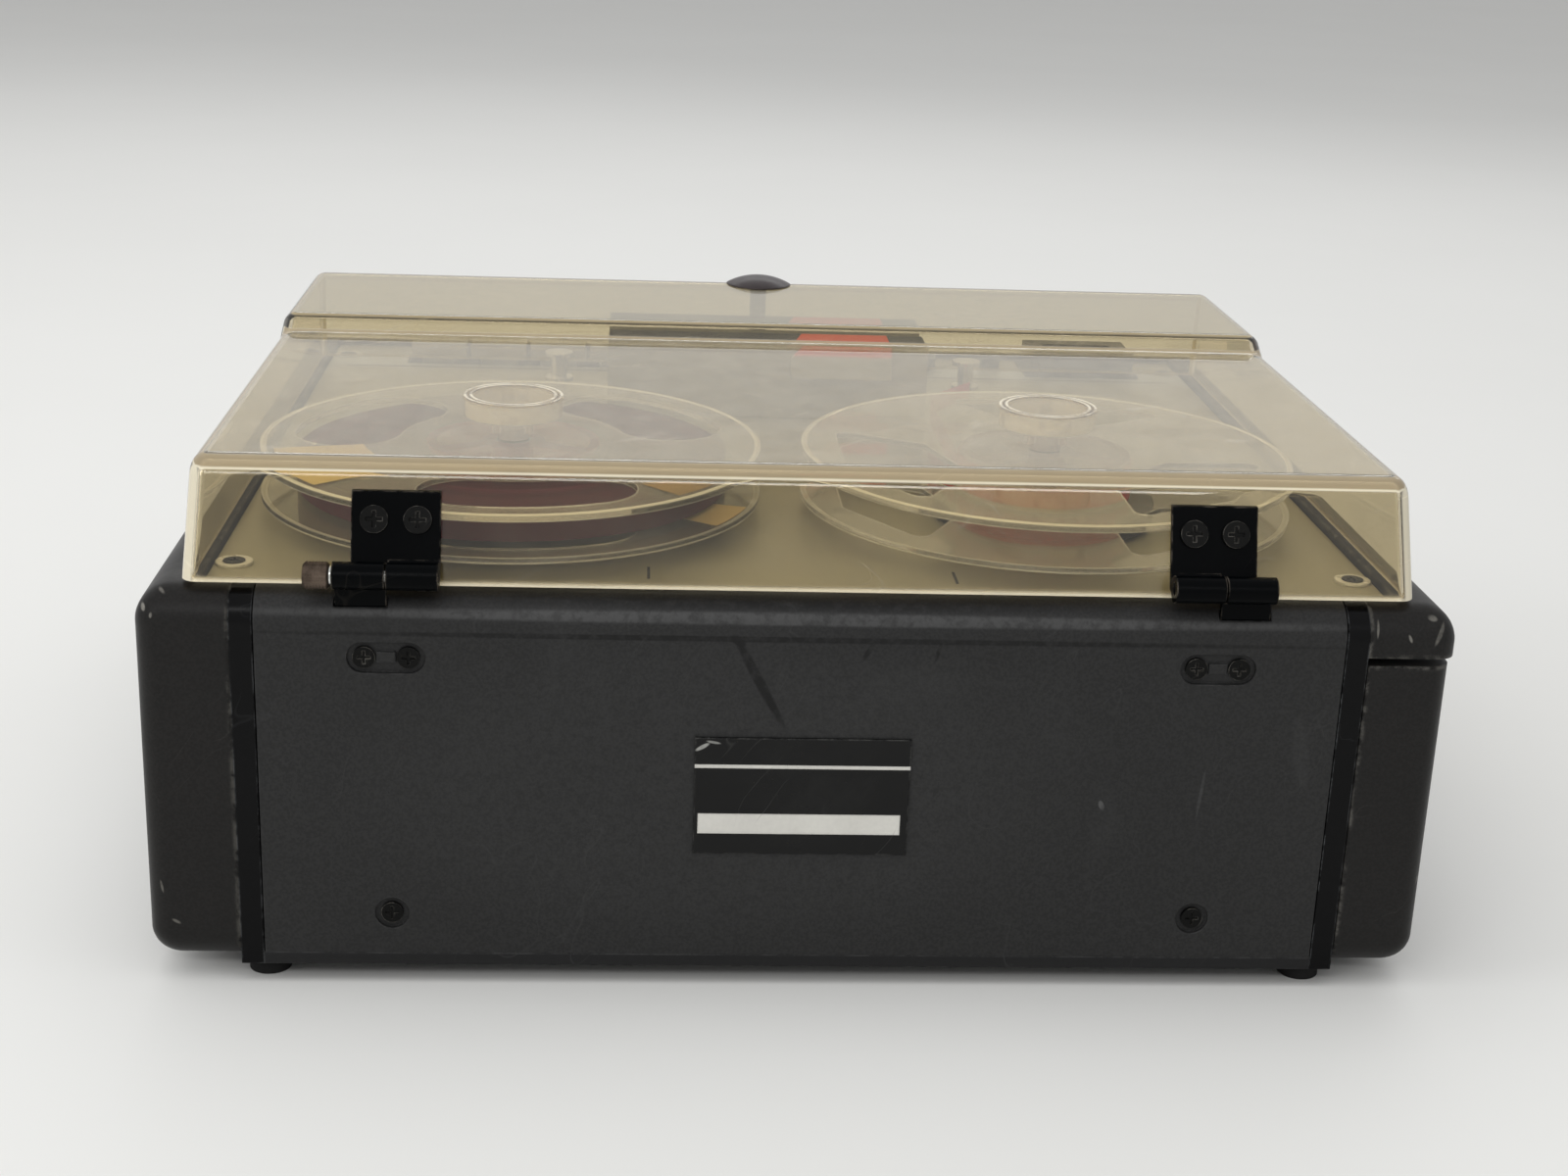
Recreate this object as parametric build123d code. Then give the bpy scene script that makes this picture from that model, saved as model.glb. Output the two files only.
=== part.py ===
from build123d import *
import math
import os

# Portable open-reel tape recorder: five-inch reels under a hinged clear lid, piano keys and a
# control strip in front of it, a battery drawer in the left end and a speaker in the right end.
# Millimetres. +X is the machine's right seen from its front, -Y the front, +Y the back where the
# lid hinges are, +Z up. The origin is the middle of the underside of the overall box.
# A "setback" is a distance forward from the outside of the rear panel.

# ---------------------------------------------------------------- driving dimensions
# case
case_width = 306.0
case_depth = 270.0
case_height = 92.8
foot_height = 5.0
foot_radius = 5.0
foot_setback = 9.0
base_sheet = 3.0
end_cap_width = 21.5
side_frame_width = 5.3
panel_sheet = 1.8
cap_wall = 2.5
edge_radius = 8.0
corner_radius = 5.0
flange_reach = 11.0
deck_sheet = 1.5
deck_side_gap = 14.2
panel_seam = 0.3
slide_gap = 0.3
running_gap = 0.05

# rear panel details
label_size = (50.6, 29.4)
label_centre_height = 41.6
label_sheet = 0.6
lower_screw_x = 95.9
lower_screw_height = 10.5
upper_screw_x = 96.2
upper_screw_drop = 15.1
upper_screw_pitch = 10.1
recess_depth = 1.0
round_recess_radius = 4.0
slot_recess_length = 17.9
slot_recess_width = 7.5
screw_head_radius = 2.6
screw_head_height = 0.9
screw_shank_radius = 1.3
screw_length = 5.5

# lid
lid_half_width = 142.6
lid_side_lean = 1.7
lid_wall = 2.5
lid_lift = 1.2
lid_back_setback = 3.7
lid_back_lean = 8.5
lid_back_rise = 25.6
lid_step_gap = 123.0
lid_step_run = 7.0
lid_front_lean = 10.0
lid_front_gap = 40.0
lid_height_back = 27.0
lid_height_front = 31.0
lid_edge_radius = 4.0
lid_ring_radius = 12.5
lid_ring_wall = 2.0
lid_ring_depth = 4.5

# lid hinges
hinge_lift = 4.5
knuckle_radius = 3.2
knuckle_length = 11.7
knuckle_gap = 0.3
hinge_inner_x = 84.0
hinge_leaf_width = 20.2
hinge_leaf_sheet = 1.2
hinge_leaf_rise = 19.0
hinge_pin_radius = 1.5
case_leaf_sheet = 1.4
case_leaf_drop = 24.0
case_leaf_top = 10.0
leaf_foot_lift = 1.5
leaf_screw_inset = 5.2
leaf_screw_rise = 10.8
leaf_screw_radius = 3.2
leaf_screw_height = 1.0
pin_knob_radius = 3.1
pin_knob_length = 5.9
pin_collar_radius = 2.3
pin_collar_length = 0.5
pin_groove_count = 16
pin_groove_radius = 0.25
pin_groove_inset = 0.7

# lid catch
catch_x = 3.0
catch_lid_gap = 16.0
catch_knob_radius = 10.0
catch_knob_height = 2.6
catch_stem_radius = 2.5
catch_bar_length = 12.6
catch_bar_width = 3.0
catch_bar_height = 2.0
catch_bar_level = 13.5
catch_lip_inner = 5.0
catch_lip_sheet = 1.5
catch_post_sheet = 2.0
catch_post_width = 6.0

# reels and tape
reel_radius = 63.5
reel_lift = 4.9
reel_flange_sheet = 1.5
reel_inner_width = 8.6
reel_hub_radius = 22.0
reel_hub_wall = 2.5
reel_boss_radius = 8.0
reel_bore_radius = 4.1
reel_spoke_width = 5.0
spoke_turn_angle = 30.0
supply_x = -66.0
takeup_x = 71.6
reel_setback = 78.0
spindle_radius = 4.0
spindle_rise = 5.0
table_radius = 29.0
table_gap = 1.2
table_shaft_radius = 3.0
table_shaft_reach = 18.0
tape_width = 6.3
tape_pack_radius = 54.5
leader_build = 0.6
leader_sheet = 0.2
tail_cover_gap = 6.0
tail_bend = 20.0
tail_swing = 15.0
window_count = 3
window_inner_radius = 29.0
window_outer_radius = 56.0
supply_window_turn = 17.0
takeup_window_turn = 98.0
kidney_sweep = 72.0
frosted_sweep = 66.0

# mechanism chassis
chassis_drop = 10.5
chassis_sheet = 2.0
chassis_side_gap = 4.2
chassis_back_setback = 14.0
chassis_front_gap = 20.0
pillar_radius = 4.0
pillar_tray_gap = 2.8
pillar_edge_gap = 2.0
pillar_back_setback = 24.0
pillar_front_gap = 26.0
spacer_front_gap = 49.0
bearing_radius = 7.0
bearing_drop = 16.0

# capstan, flywheel, motor and belt
capstan_x = 38.0
capstan_front_gap = 83.0
capstan_radius = 2.5
capstan_rise = 20.0
flywheel_radius = 35.0
flywheel_height = 12.0
flywheel_drop = 22.0
thrust_drop = 7.0
thrust_sheet = 3.0
thrust_post_radius = 3.0
thrust_post_gap = 6.0
motor_x = -28.0
motor_front_gap = 65.0
motor_radius = 20.0
motor_wheel_gap = 6.0
motor_shaft_radius = 1.5
pulley_radius = 5.0
pulley_flange_radius = 7.0
pulley_flange_sheet = 1.0
belt_width = 4.0
belt_sheet = 0.6
belt_gap = 0.08

# heads, guides and pinch roller
head_xs = (-30.0, -8.0, 14.0)
head_width = 13.0
head_depth = 12.0
head_nose = 2.5
head_height = 15.0
head_base_sheet = 2.0
tape_line_front_gap = 80.5
guide_xs = (-60.0, 64.0)
guide_radius = 2.4
guide_flange_radius = 4.2
guide_flange_sheet = 1.2
pinch_pivot_x = 16.0
pinch_arm_length = 22.0
pinch_rest_front_gap = 71.0
pinch_roller_radius = 5.5
pinch_roller_height = 12.0
pinch_core_radius = 1.5
pinch_arm_sheet = 2.0
pinch_arm_width = 7.0
pinch_pivot_radius = 2.0

# head cover
cover_left_x = -46.0
cover_right_x = 49.0
cover_back_gap = 100.0
cover_slot_gaps = (82.7, 75.4)
cover_front_gap = 63.0
cover_height = 23.0
cover_wall = 1.6
accent_xs = (-35.0, -5.0)
accent_height = 4.0
accent_slant = 4.4

# transport keys
key_names = ("record", "rewind", "stop", "play", "forward")
key_side_gap = 18.0
key_pitch = 19.0
key_width = 17.6
key_shaft_front_gap = 33.0
key_shaft_drop = 5.3
key_shaft_radius = 2.0
key_boss_radius = 4.0
key_back_gap = 36.4
key_front_gap = 13.6
key_pad_lift = 1.4
key_pad_height = 5.6
key_rail_sheet = 2.0
key_rail_gap = 1.5

# counter and speed selector
counter_side_gap = 16.8
counter_width = 34.0
counter_front_gaps = (36.0, 14.0)
counter_drop = 9.5
counter_rise = 9.0
counter_wall = 1.6
counter_drum_radius = 8.0
counter_drum_width = 6.4
counter_drum_gap = 0.8
counter_axle_radius = 1.2
counter_window_depth = 9.0
reset_counter_gap = 12.0
reset_front_gap = 25.0
reset_radius = 3.5
reset_rise = 5.5
reset_drop = 4.5
selector_reset_gap = 28.0
selector_front_gap = 25.0
selector_radius = 10.0
selector_height = 11.0
selector_shaft_radius = 2.5
selector_shaft_drop = 9.0

# front panel controls
control_drop = 31.8
knob_radius = 11.0
knob_height = 11.5
knob_gap = 0.5
knob_shaft_radius = 3.0
knob_shaft_inside = 9.0
knob_flute_count = 20
knob_flute_radius = 0.6
knob_flute_insets = (1.5, 2.0)
knob_chamfer = 1.0
knob_side_gap = 36.2
knob_pitch = 32.0
meter_x = 0.0
meter_width = 48.0
meter_height = 32.0
meter_border = 3.5
meter_depth = 20.0
meter_bezel = 1.5
meter_wall = 1.8
meter_glass = 1.0
needle_rest_angle = 40.0
needle_length = 19.0
needle_width = 0.8
needle_setback = 5.0
needle_hub_radius = 2.0
needle_pin_radius = 0.6
inlet_side_gap = 30.2
jack_pitch = 20.0
jack_bore_radius = 3.25
jack_body_radius = 6.0
jack_flange_radius = 7.5
jack_bore_length = 14.0
inlet_bore_radius = 2.75
inlet_bore_length = 10.0
socket_flange_sheet = 1.5
socket_end_wall = 2.0

# carrying handle
handle_side_gap = 8.2
handle_pivot_level = 43.0
handle_standoff = 7.2
handle_arm_length = 24.0
handle_arm_width = 9.0
handle_arm_sheet = 3.0
handle_bar_radius = 3.0
handle_grip_radius = 6.5
grip_arm_gap = 23.0
handle_pin_radius = 2.0
bracket_sheet = 3.0
bracket_height = 11.0

# battery drawer
drawer_seam_drop = 11.7
drawer_seam_gap = 2.0
drawer_set_in = 1.0
cell_radius = 16.5
cell_length = 61.2
cell_rows = 2
cell_gap = 0.4
cell_nub_radius = 4.5
cell_nub_length = 1.5
tray_wall = 1.5
tray_wall_rise = 24.0
tray_set_in = 4.0
tray_rib_offset = 80.0
tray_rib_width = 8.0
contact_sheet = 0.6

# speaker
speaker_radius = 38.0
speaker_cone_depth = 17.0
speaker_basket_rim = 2.0
magnet_radius = 18.0
magnet_depth = 16.0
grille_slots = 13
grille_pitch = 5.2
grille_slot_width = 2.6
grille_radius = 34.0

# amplifier board
board_pillar_gaps = (3.0, 6.0)
board_back_setback = 22.0
board_depth = 126.0
board_sheet = 1.6
board_standoff = 6.0
standoff_radius = 2.5
can_count = 5
can_radius = 5.0
can_height = 16.0
can_pitch = 24.0
can_inset = 20.0
can_row = 24.0
chip_count = 8
chip_size = (9.0, 6.0, 4.0)
chip_pitch = 16.0
chip_inset = 18.0
chip_row = 56.0
small_can_row = 84.0
small_can_height = 7.0
core_size = (30.0, 24.0, 22.0)
core_insets = (16.0, 12.0)

# deck fasteners
deck_screw_edge_gap = 4.6
deck_screw_end_gap = 27.0
eyelet_radius = 4.4
eyelet_height = 0.7

# ---------------------------------------------------------------- derived sizes
handle_reach = handle_standoff + handle_grip_radius
back_y = (case_depth + handle_reach - knuckle_radius) / 2
front_y = back_y - case_depth
half_width = case_width / 2
cap_inner_x = half_width - end_cap_width
panel_half = cap_inner_x - side_frame_width
deck_half_width = half_width - deck_side_gap
deck_screw_x = deck_half_width - deck_screw_edge_gap
deck_screw_setbacks = (deck_screw_end_gap, case_depth - deck_screw_end_gap)
chassis_half_width = panel_half - chassis_side_gap
chassis_front_setback = case_depth - chassis_front_gap
lid_step_setback = case_depth - lid_step_gap
lid_front_setback = case_depth - lid_front_gap
catch_setback = lid_front_setback - catch_lid_gap
capstan_setback = case_depth - capstan_front_gap
motor_setback = case_depth - motor_front_gap
tape_line_setback = case_depth - tape_line_front_gap
pinch_rest_setback = case_depth - pinch_rest_front_gap
cover_back_setback = case_depth - cover_back_gap
cover_slot_setbacks = (case_depth - cover_slot_gaps[0], case_depth - cover_slot_gaps[1])
cover_front_setback = case_depth - cover_front_gap
tail_run = cover_back_setback - reel_setback - tail_bend - tail_cover_gap
key_shaft_setback = case_depth - key_shaft_front_gap
key_back_setback = case_depth - key_back_gap
key_front_setback = case_depth - key_front_gap
key_first_x = chassis_half_width - key_side_gap - key_pitch * (len(key_names) - 1)
counter_left_x = counter_side_gap - deck_half_width
counter_xs = (counter_left_x, counter_left_x + counter_width)
counter_setbacks = (case_depth - counter_front_gaps[0], case_depth - counter_front_gaps[1])
reset_x = counter_xs[1] + reset_counter_gap
reset_setback = case_depth - reset_front_gap
selector_x = reset_x + selector_reset_gap
selector_setback = case_depth - selector_front_gap
volume_knob_x = knob_side_gap - panel_half
record_knob_x = volume_knob_x + knob_pitch
inlet_x = panel_half - inlet_side_gap
jack_xs = (inlet_x - 2 * jack_pitch, inlet_x - jack_pitch)
handle_x = panel_half - handle_side_gap
handle_grip_half = handle_x - grip_arm_gap
speaker_setback = case_depth / 2
cells_per_row = math.floor((case_depth - 2 * cap_wall - 2 * tray_wall) / (cell_length + cell_nub_length))
tray_outer_x = drawer_set_in + cap_wall + tray_set_in - half_width
tray_width = cell_rows * (2 * cell_radius + cell_gap) + cell_gap + (cell_rows + 1) * tray_wall
pillar_inner_x = tray_outer_x + tray_width + pillar_tray_gap + pillar_radius
pillar_outer_x = chassis_half_width - pillar_edge_gap - pillar_radius
pillar_setbacks = (pillar_back_setback, case_depth - pillar_front_gap)
spacer_setbacks = (pillar_back_setback, case_depth - spacer_front_gap)
board_xs = (pillar_inner_x + pillar_radius + board_pillar_gaps[0],
            pillar_outer_x - pillar_radius - board_pillar_gaps[1])
board_setbacks = (board_back_setback, board_back_setback + board_depth)
case_bottom = foot_height
base_top = case_bottom + base_sheet
case_top = case_bottom + case_height
deck_top = case_top - panel_sheet
speaker_level = case_bottom + case_height / 2
upper_screw_level = case_top - upper_screw_drop
drawer_seam_top = case_top - drawer_seam_drop
drawer_seam_bottom = drawer_seam_top - drawer_seam_gap
control_level = case_top - control_drop
deck_bottom = deck_top - deck_sheet
deck_setbacks = (edge_radius + slide_gap, case_depth - edge_radius - slide_gap)
hinge_level = case_top + hinge_lift
lid_bottom = case_top + lid_lift
lid_inside_top = lid_bottom + lid_height_back - lid_wall
chassis_top = deck_bottom - chassis_drop
chassis_bottom = chassis_top - chassis_sheet
table_shaft_end = chassis_bottom - table_shaft_reach
capstan_top = deck_top + capstan_rise
flywheel_bottom = chassis_bottom - flywheel_drop
thrust_level = flywheel_bottom - thrust_drop
motor_height = flywheel_bottom - motor_wheel_gap - base_top
key_shaft_level = deck_bottom - key_shaft_drop
key_pad_bottom = deck_top + key_pad_lift
key_pad_top = key_pad_bottom + key_pad_height
counter_bottom = deck_bottom - counter_drop
reset_top = deck_top + reset_rise
reset_bottom = deck_bottom - reset_drop
reel_bottom = deck_top + reel_lift
reel_hub_bottom = reel_bottom + reel_flange_sheet
reel_hub_top = reel_hub_bottom + reel_inner_width
reel_top = reel_hub_top + reel_flange_sheet
tape_bottom = reel_hub_bottom + (reel_inner_width - tape_width) / 2
tape_middle = tape_bottom + tape_width / 2
spindle_top = reel_top + spindle_rise
cover_top = deck_top + cover_height


def y_at(setback):
    """Y of a place that lies the given distance forward of the rear panel."""
    return back_y - setback


def block(x0, x1, y0, y1, z0, z1):
    """Box between two corners, given in either order."""
    size = (abs(x1 - x0), abs(y1 - y0), abs(z1 - z0))
    return Pos((x0 + x1) / 2, (y0 + y1) / 2, (z0 + z1) / 2) * Box(*size)


def post(x, y, z0, z1, radius):
    """Upright cylinder between two levels."""
    return Pos(x, y, (z0 + z1) / 2) * Cylinder(radius, abs(z1 - z0))


def rod_x(x0, x1, y, z, radius):
    """Cylinder along X between two places."""
    return Pos((x0 + x1) / 2, y, z) * Rot(0, 90, 0) * Cylinder(radius, abs(x1 - x0))


def rod_y(x, y0, y1, z, radius):
    """Cylinder along Y between two places."""
    return Pos(x, (y0 + y1) / 2, z) * Rot(90, 0, 0) * Cylinder(radius, abs(y1 - y0))


def extrude_x(face, x0, x1):
    """Solid of a side outline, drawn in Y and Z, between two X places."""
    return extrude(Plane.YZ.offset(min(x0, x1)) * face, amount=abs(x1 - x0))


def outline(points, radii):
    """Closed face through the points, each corner with its own radius."""
    return make_face(FilletPolyline(*points, radius=radii, close=True))


def both_sides(make):
    """The two solids that a maker gives for the right side, 1, and the left side, -1."""
    return [make(side) for side in (1, -1)]


# ---------------------------------------------------------------- case shell
def rolled_profile(sheet, edge_setback, towards_front):
    """Outline of an upright sheet whose top edge rolls over the case and ends in a flange."""
    inner = edge_radius - sheet
    outer_points = [(0, base_top), (0, case_top), (flange_reach, case_top)]
    inner_points = [(flange_reach, case_top - sheet), (sheet, case_top - sheet), (sheet, base_top)]
    radii = [0, edge_radius, 0, 0, inner, 0]
    points = []
    for setback, level in outer_points + inner_points:
        points.append((edge_setback + towards_front * setback, level))
    return outline([(y_at(setback), level) for setback, level in points], radii)


def phillips_screw(radius, head, length):
    """Pan screw standing on Z = 0, head up, with a cross recess; its shank runs down."""
    body = post(0, 0, 0, head, radius) + post(0, 0, -length, 0, screw_shank_radius)
    arm = radius * 1.2
    slot = radius * 0.26
    for turn in (0, 90):
        body -= Rot(0, 0, turn) * Pos(0, 0, head) * Box(arm, slot, head)
    return body


def rear_screw_places():
    """X and height of each screw in the rear panel."""
    places = [(side * lower_screw_x, case_bottom + base_sheet + lower_screw_height) for side in (1, -1)]
    for side in (1, -1):
        for step in (-0.5, 0.5):
            x = side * upper_screw_x + step * upper_screw_pitch
            places.append((x, upper_screw_level))
    return places


def base_tray():
    """Flat bottom sheet between the side frames."""
    return block(-panel_half, panel_half, back_y, front_y, case_bottom, base_top)


def rear_panel():
    """Back sheet, rolled over the top, with recessed screws and slots for the case hinge leaves."""
    half = panel_half - panel_seam
    panel = extrude_x(rolled_profile(panel_sheet, 0, 1), -half, half)
    for side in (1, -1):
        low = base_top + lower_screw_height
        panel -= rod_y(side * lower_screw_x, back_y - recess_depth, back_y + 1, low, round_recess_radius)
        slot = extrude(SlotOverall(slot_recess_length, slot_recess_width), amount=recess_depth)
        panel -= Pos(side * upper_screw_x, back_y, upper_screw_level) * Rot(90, 0, 0) * slot
        panel += bridge(side * upper_screw_x, upper_screw_level)
        outer = hinge_inner_x + 2 * knuckle_length + knuckle_gap
        inner = outer - knuckle_length
        leaf_front = back_y - panel_sheet - case_leaf_sheet - slide_gap
        panel -= block(side * (inner - slide_gap), side * (outer + slide_gap), leaf_front,
                       back_y - panel_sheet + slide_gap, case_top - edge_radius, case_top + 1)
    for x, z in rear_screw_places():
        panel -= rod_y(x, back_y - panel_sheet, back_y, z, screw_shank_radius + running_gap)
    return panel


def bridge(x, z):
    """Low bar between the two screws of an upper recess."""
    width = upper_screw_pitch - 2 * screw_head_radius - 2 * panel_seam
    return block(x - width / 2, x + width / 2, back_y - recess_depth, back_y - recess_depth / 3,
                 z - screw_head_radius / 2, z + screw_head_radius / 2)


def front_panel():
    """Front sheet, rolled over the top, cut for the controls, with the handle's brackets on it."""
    half = panel_half - panel_seam
    panel = extrude_x(rolled_profile(panel_sheet, case_depth, -1), -half, half)
    open_w = meter_width / 2 - meter_border + meter_wall + running_gap
    open_h = meter_height / 2 - meter_border + meter_wall + running_gap
    panel -= block(meter_x - open_w, meter_x + open_w, front_y - 1, front_y + 2 * panel_sheet,
                   control_level - open_h, control_level + open_h)
    holes = [(record_knob_x, knob_shaft_radius + running_gap)]
    holes.append((volume_knob_x, knob_shaft_radius + running_gap))
    holes.append((inlet_x, jack_body_radius))
    for x in jack_xs:
        holes.append((x, jack_body_radius))
    for x, radius in holes:
        panel -= rod_y(x, front_y - 1, front_y + 2 * panel_sheet, control_level, radius)
    for bracket in handle_brackets():
        panel += bracket
    return panel


def side_frames():
    """Bent strips at both ends that tie base, panels and end caps together."""
    def frame(side):
        x0 = side * panel_half
        x1 = side * cap_inner_x
        strip = block(x0, x1, back_y, front_y, case_bottom, base_top)
        strip += extrude_x(rolled_profile(panel_sheet, 0, 1), x0, x1)
        strip += extrude_x(rolled_profile(panel_sheet, case_depth, -1), x0, x1)
        return strip
    return both_sides(frame)


def cap_block(inset, set_in, bottom, top):
    """Right end block, rounded all round, drawn in by inset on every outer side."""
    x0 = cap_inner_x
    x1 = half_width - inset - set_in
    depth = case_depth - 2 * inset
    y = (back_y + front_y) / 2
    height = case_height - 2 * inset
    solid = Pos((x0 + x1) / 2, y, case_bottom + case_height / 2) * Box(x1 - x0, depth, height)
    outer = solid.edges().filter_by(Axis.Z).group_by(Axis.X)[-1]
    solid = fillet(outer, corner_radius - inset)
    ends = solid.edges().group_by(Axis.Z)
    ring = [edge for edge in ends[-1] + ends[0] if edge.center().X > x0 + 0.01]
    solid = fillet(ring, edge_radius - inset)
    return solid & block(x0 - 1, half_width + 1, back_y + 1, front_y - 1, bottom, top)


def cap_shell(set_in, bottom, top):
    """Right end cap between two levels, hollow and open towards the case."""
    shell = cap_block(0, set_in, bottom, top)
    low = max(bottom, case_bottom) + cap_wall
    high = min(top, case_top) - cap_wall
    shell -= cap_block(cap_wall, set_in, low, high)
    return shell


def deck_seat(cap):
    """Cut the deck's slot and opening into an end cap and add the ledge that carries the deck."""
    slot_x = deck_half_width + 2 * slide_gap
    behind, before = deck_setbacks
    cap -= block(cap_inner_x - 1, slot_x, y_at(behind - slide_gap), y_at(before + slide_gap),
                 deck_bottom, deck_top)
    cap -= block(cap_inner_x - 1, slot_x, y_at(flange_reach), y_at(case_depth - flange_reach),
                 deck_bottom, case_top + 1)
    ledge = block(cap_inner_x + 1, slot_x + cap_wall, y_at(flange_reach),
                  y_at(case_depth - flange_reach), deck_bottom - cap_wall, deck_bottom)
    ledge += block(slot_x, slot_x + cap_wall, y_at(flange_reach), y_at(case_depth - flange_reach),
                   deck_bottom, case_top - cap_wall)
    return cap + ledge


def cut_deck_screws(cap):
    """Pilot holes for the deck screws in an end cap's ledge."""
    for setback in deck_screw_setbacks:
        cap -= post(deck_screw_x, y_at(setback), deck_bottom - screw_length, deck_bottom,
                    screw_shank_radius + running_gap)
    return cap


def end_cap_right():
    """Full-height end cap with the speaker grille."""
    cap = cut_deck_screws(deck_seat(cap_shell(0, case_bottom, case_top)))
    for index in range(grille_slots):
        offset = (index - (grille_slots - 1) / 2) * grille_pitch
        chord = math.sqrt(max(grille_radius ** 2 - offset ** 2, 1))
        y = y_at(speaker_setback) + offset
        cap -= block(half_width - 2 * cap_wall, half_width + 1, y - grille_slot_width / 2,
                     y + grille_slot_width / 2, speaker_level - chord, speaker_level + chord)
    return cap


def end_cap_left():
    """Upper rail of the left end, over the battery drawer."""
    return mirror(cut_deck_screws(deck_seat(cap_shell(0, drawer_seam_top, case_top))), Plane.YZ)


def deck_holes():
    """What passes through the deck, as solids to cut away."""
    cuts = []
    shaft_hole = table_shaft_radius * 2
    for x in (supply_x, takeup_x):
        cuts.append(post(x, y_at(reel_setback), deck_bottom - 1, deck_top + 1, shaft_hole))
    cuts.append(post(capstan_x, y_at(capstan_setback), deck_bottom - 1, deck_top + 1,
                     capstan_radius * 1.6))
    first = key_first_x - key_width / 2 - key_rail_gap
    last = key_first_x + key_pitch * (len(key_names) - 1) + key_width / 2 + key_rail_gap
    cuts.append(block(first, last, y_at(key_back_setback - 1), y_at(key_front_setback + 2.2),
                      deck_bottom - 1, deck_top + 1))
    cuts.append(block(counter_xs[0], counter_xs[1], y_at(counter_setbacks[0]),
                      y_at(counter_setbacks[1]), deck_bottom - 1, deck_top + 1))
    cuts.append(post(reset_x, y_at(reset_setback), deck_bottom - 1, deck_top + 1,
                     reset_radius + running_gap))
    cuts.append(post(selector_x, y_at(selector_setback), deck_bottom - 1, deck_top + 1,
                     selector_shaft_radius + running_gap))
    cuts.append(post(pinch_pivot_x, y_at(pinch_rest_setback), deck_bottom - 1, deck_top + 1,
                     pinch_pivot_radius + running_gap))
    for side in (1, -1):
        for setback in deck_screw_setbacks:
            cuts.append(post(side * deck_screw_x, y_at(setback), deck_bottom - 1, deck_top + 1,
                             screw_shank_radius + running_gap))
    return cuts


def deck_plate():
    """Top deck, let in under the rolled edges of the panels."""
    plate = block(-deck_half_width, deck_half_width, y_at(deck_setbacks[0]),
                  y_at(deck_setbacks[1]), deck_bottom, deck_top)
    for cut in deck_holes():
        plate -= cut
    return plate


def label_plate():
    """Blank plate on the back of the case."""
    width, height = label_size
    middle = base_top + label_centre_height
    return block(-width / 2, width / 2, back_y, back_y + label_sheet, middle - height / 2,
                 middle + height / 2)


def case_screws():
    """Screws of the rear panel, and those that hold the deck to the ledges of the end caps."""
    solids = []
    for x, z in rear_screw_places():
        place = Pos(x, back_y - recess_depth, z) * Rot(-90, 0, 0)
        solids.append(place * phillips_screw(screw_head_radius, screw_head_height, screw_length))
    for side in (1, -1):
        for setback in deck_screw_setbacks:
            place = Pos(side * deck_screw_x, y_at(setback), deck_top)
            solids.append(place * phillips_screw(screw_head_radius, screw_head_height, screw_length))
    return solids


def deck_eyelets():
    """Bright rings round the deck screws."""
    solids = []
    for side in (1, -1):
        for setback in deck_screw_setbacks:
            y = y_at(setback)
            ring = post(side * deck_screw_x, y, deck_top, deck_top + eyelet_height, eyelet_radius)
            ring -= post(side * deck_screw_x, y, deck_top - 1, deck_top + eyelet_height + 1,
                         screw_head_radius + running_gap)
            solids.append(ring)
    return solids


def feet():
    """Round rubber feet under the corners."""
    solids = []
    for side in (1, -1):
        x = side * (cap_inner_x - foot_radius - slide_gap)
        for setback in (foot_setback, case_depth - foot_setback):
            solids.append(post(x, y_at(setback), 0, case_bottom, foot_radius))
    return solids


# ---------------------------------------------------------------- lid and its hinges
def lid_outline(bottom):
    """Side outline of the lid from its back wall to its front wall, cut off at a level."""
    back_slope = lid_back_lean / lid_back_rise
    front_slope = lid_front_lean / lid_height_front
    rise_back = lid_height_back
    below = bottom - lid_bottom
    points = [
        (lid_back_setback + back_slope * below, bottom),
        (lid_back_setback + back_slope * rise_back, lid_bottom + rise_back),
        (lid_step_setback, lid_bottom + rise_back),
        (lid_step_setback + lid_step_run, lid_bottom + lid_height_front),
        (lid_front_setback - lid_front_lean, lid_bottom + lid_height_front),
        (lid_front_setback - front_slope * below, bottom),
    ]
    radii = [0, lid_edge_radius + 2, lid_edge_radius, lid_edge_radius + 1, lid_edge_radius + 3, 0]
    return outline([(y_at(setback), level) for setback, level in points], radii)


def lid_sides(inset):
    """Room between the lid's two sides, which lean in towards the top, drawn in by inset."""
    below, above = lid_bottom - 3 * lid_wall, lid_bottom + lid_height_front + 1
    lean = lid_side_lean / lid_height_front
    low = lid_half_width - inset - lean * (below - lid_bottom)
    high = lid_half_width - inset - lean * (above - lid_bottom)
    face = make_face(Polyline((-low, below), (low, below), (high, above), (-high, above), close=True))
    return extrude(Plane.XZ.offset(-back_y - 1) * face, amount=case_depth + 2)


def lid_block(bottom, inset):
    """Solid lid shape, drawn in by inset from the back, front, sides and top."""
    face = lid_outline(bottom)
    if inset > 0:
        face = offset(face, amount=-inset)
    solid = extrude_x(face, -half_width, half_width) & lid_sides(inset)
    lowest = face.bounding_box().min.Y
    by_side = solid.faces().sort_by(Axis.X)
    rims = [by_side[0], by_side[-1]]
    edges = [edge for rim in rims for edge in rim.edges() if edge.center().Z > lowest + 0.01]
    return fillet(edges, lid_edge_radius - inset)


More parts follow.
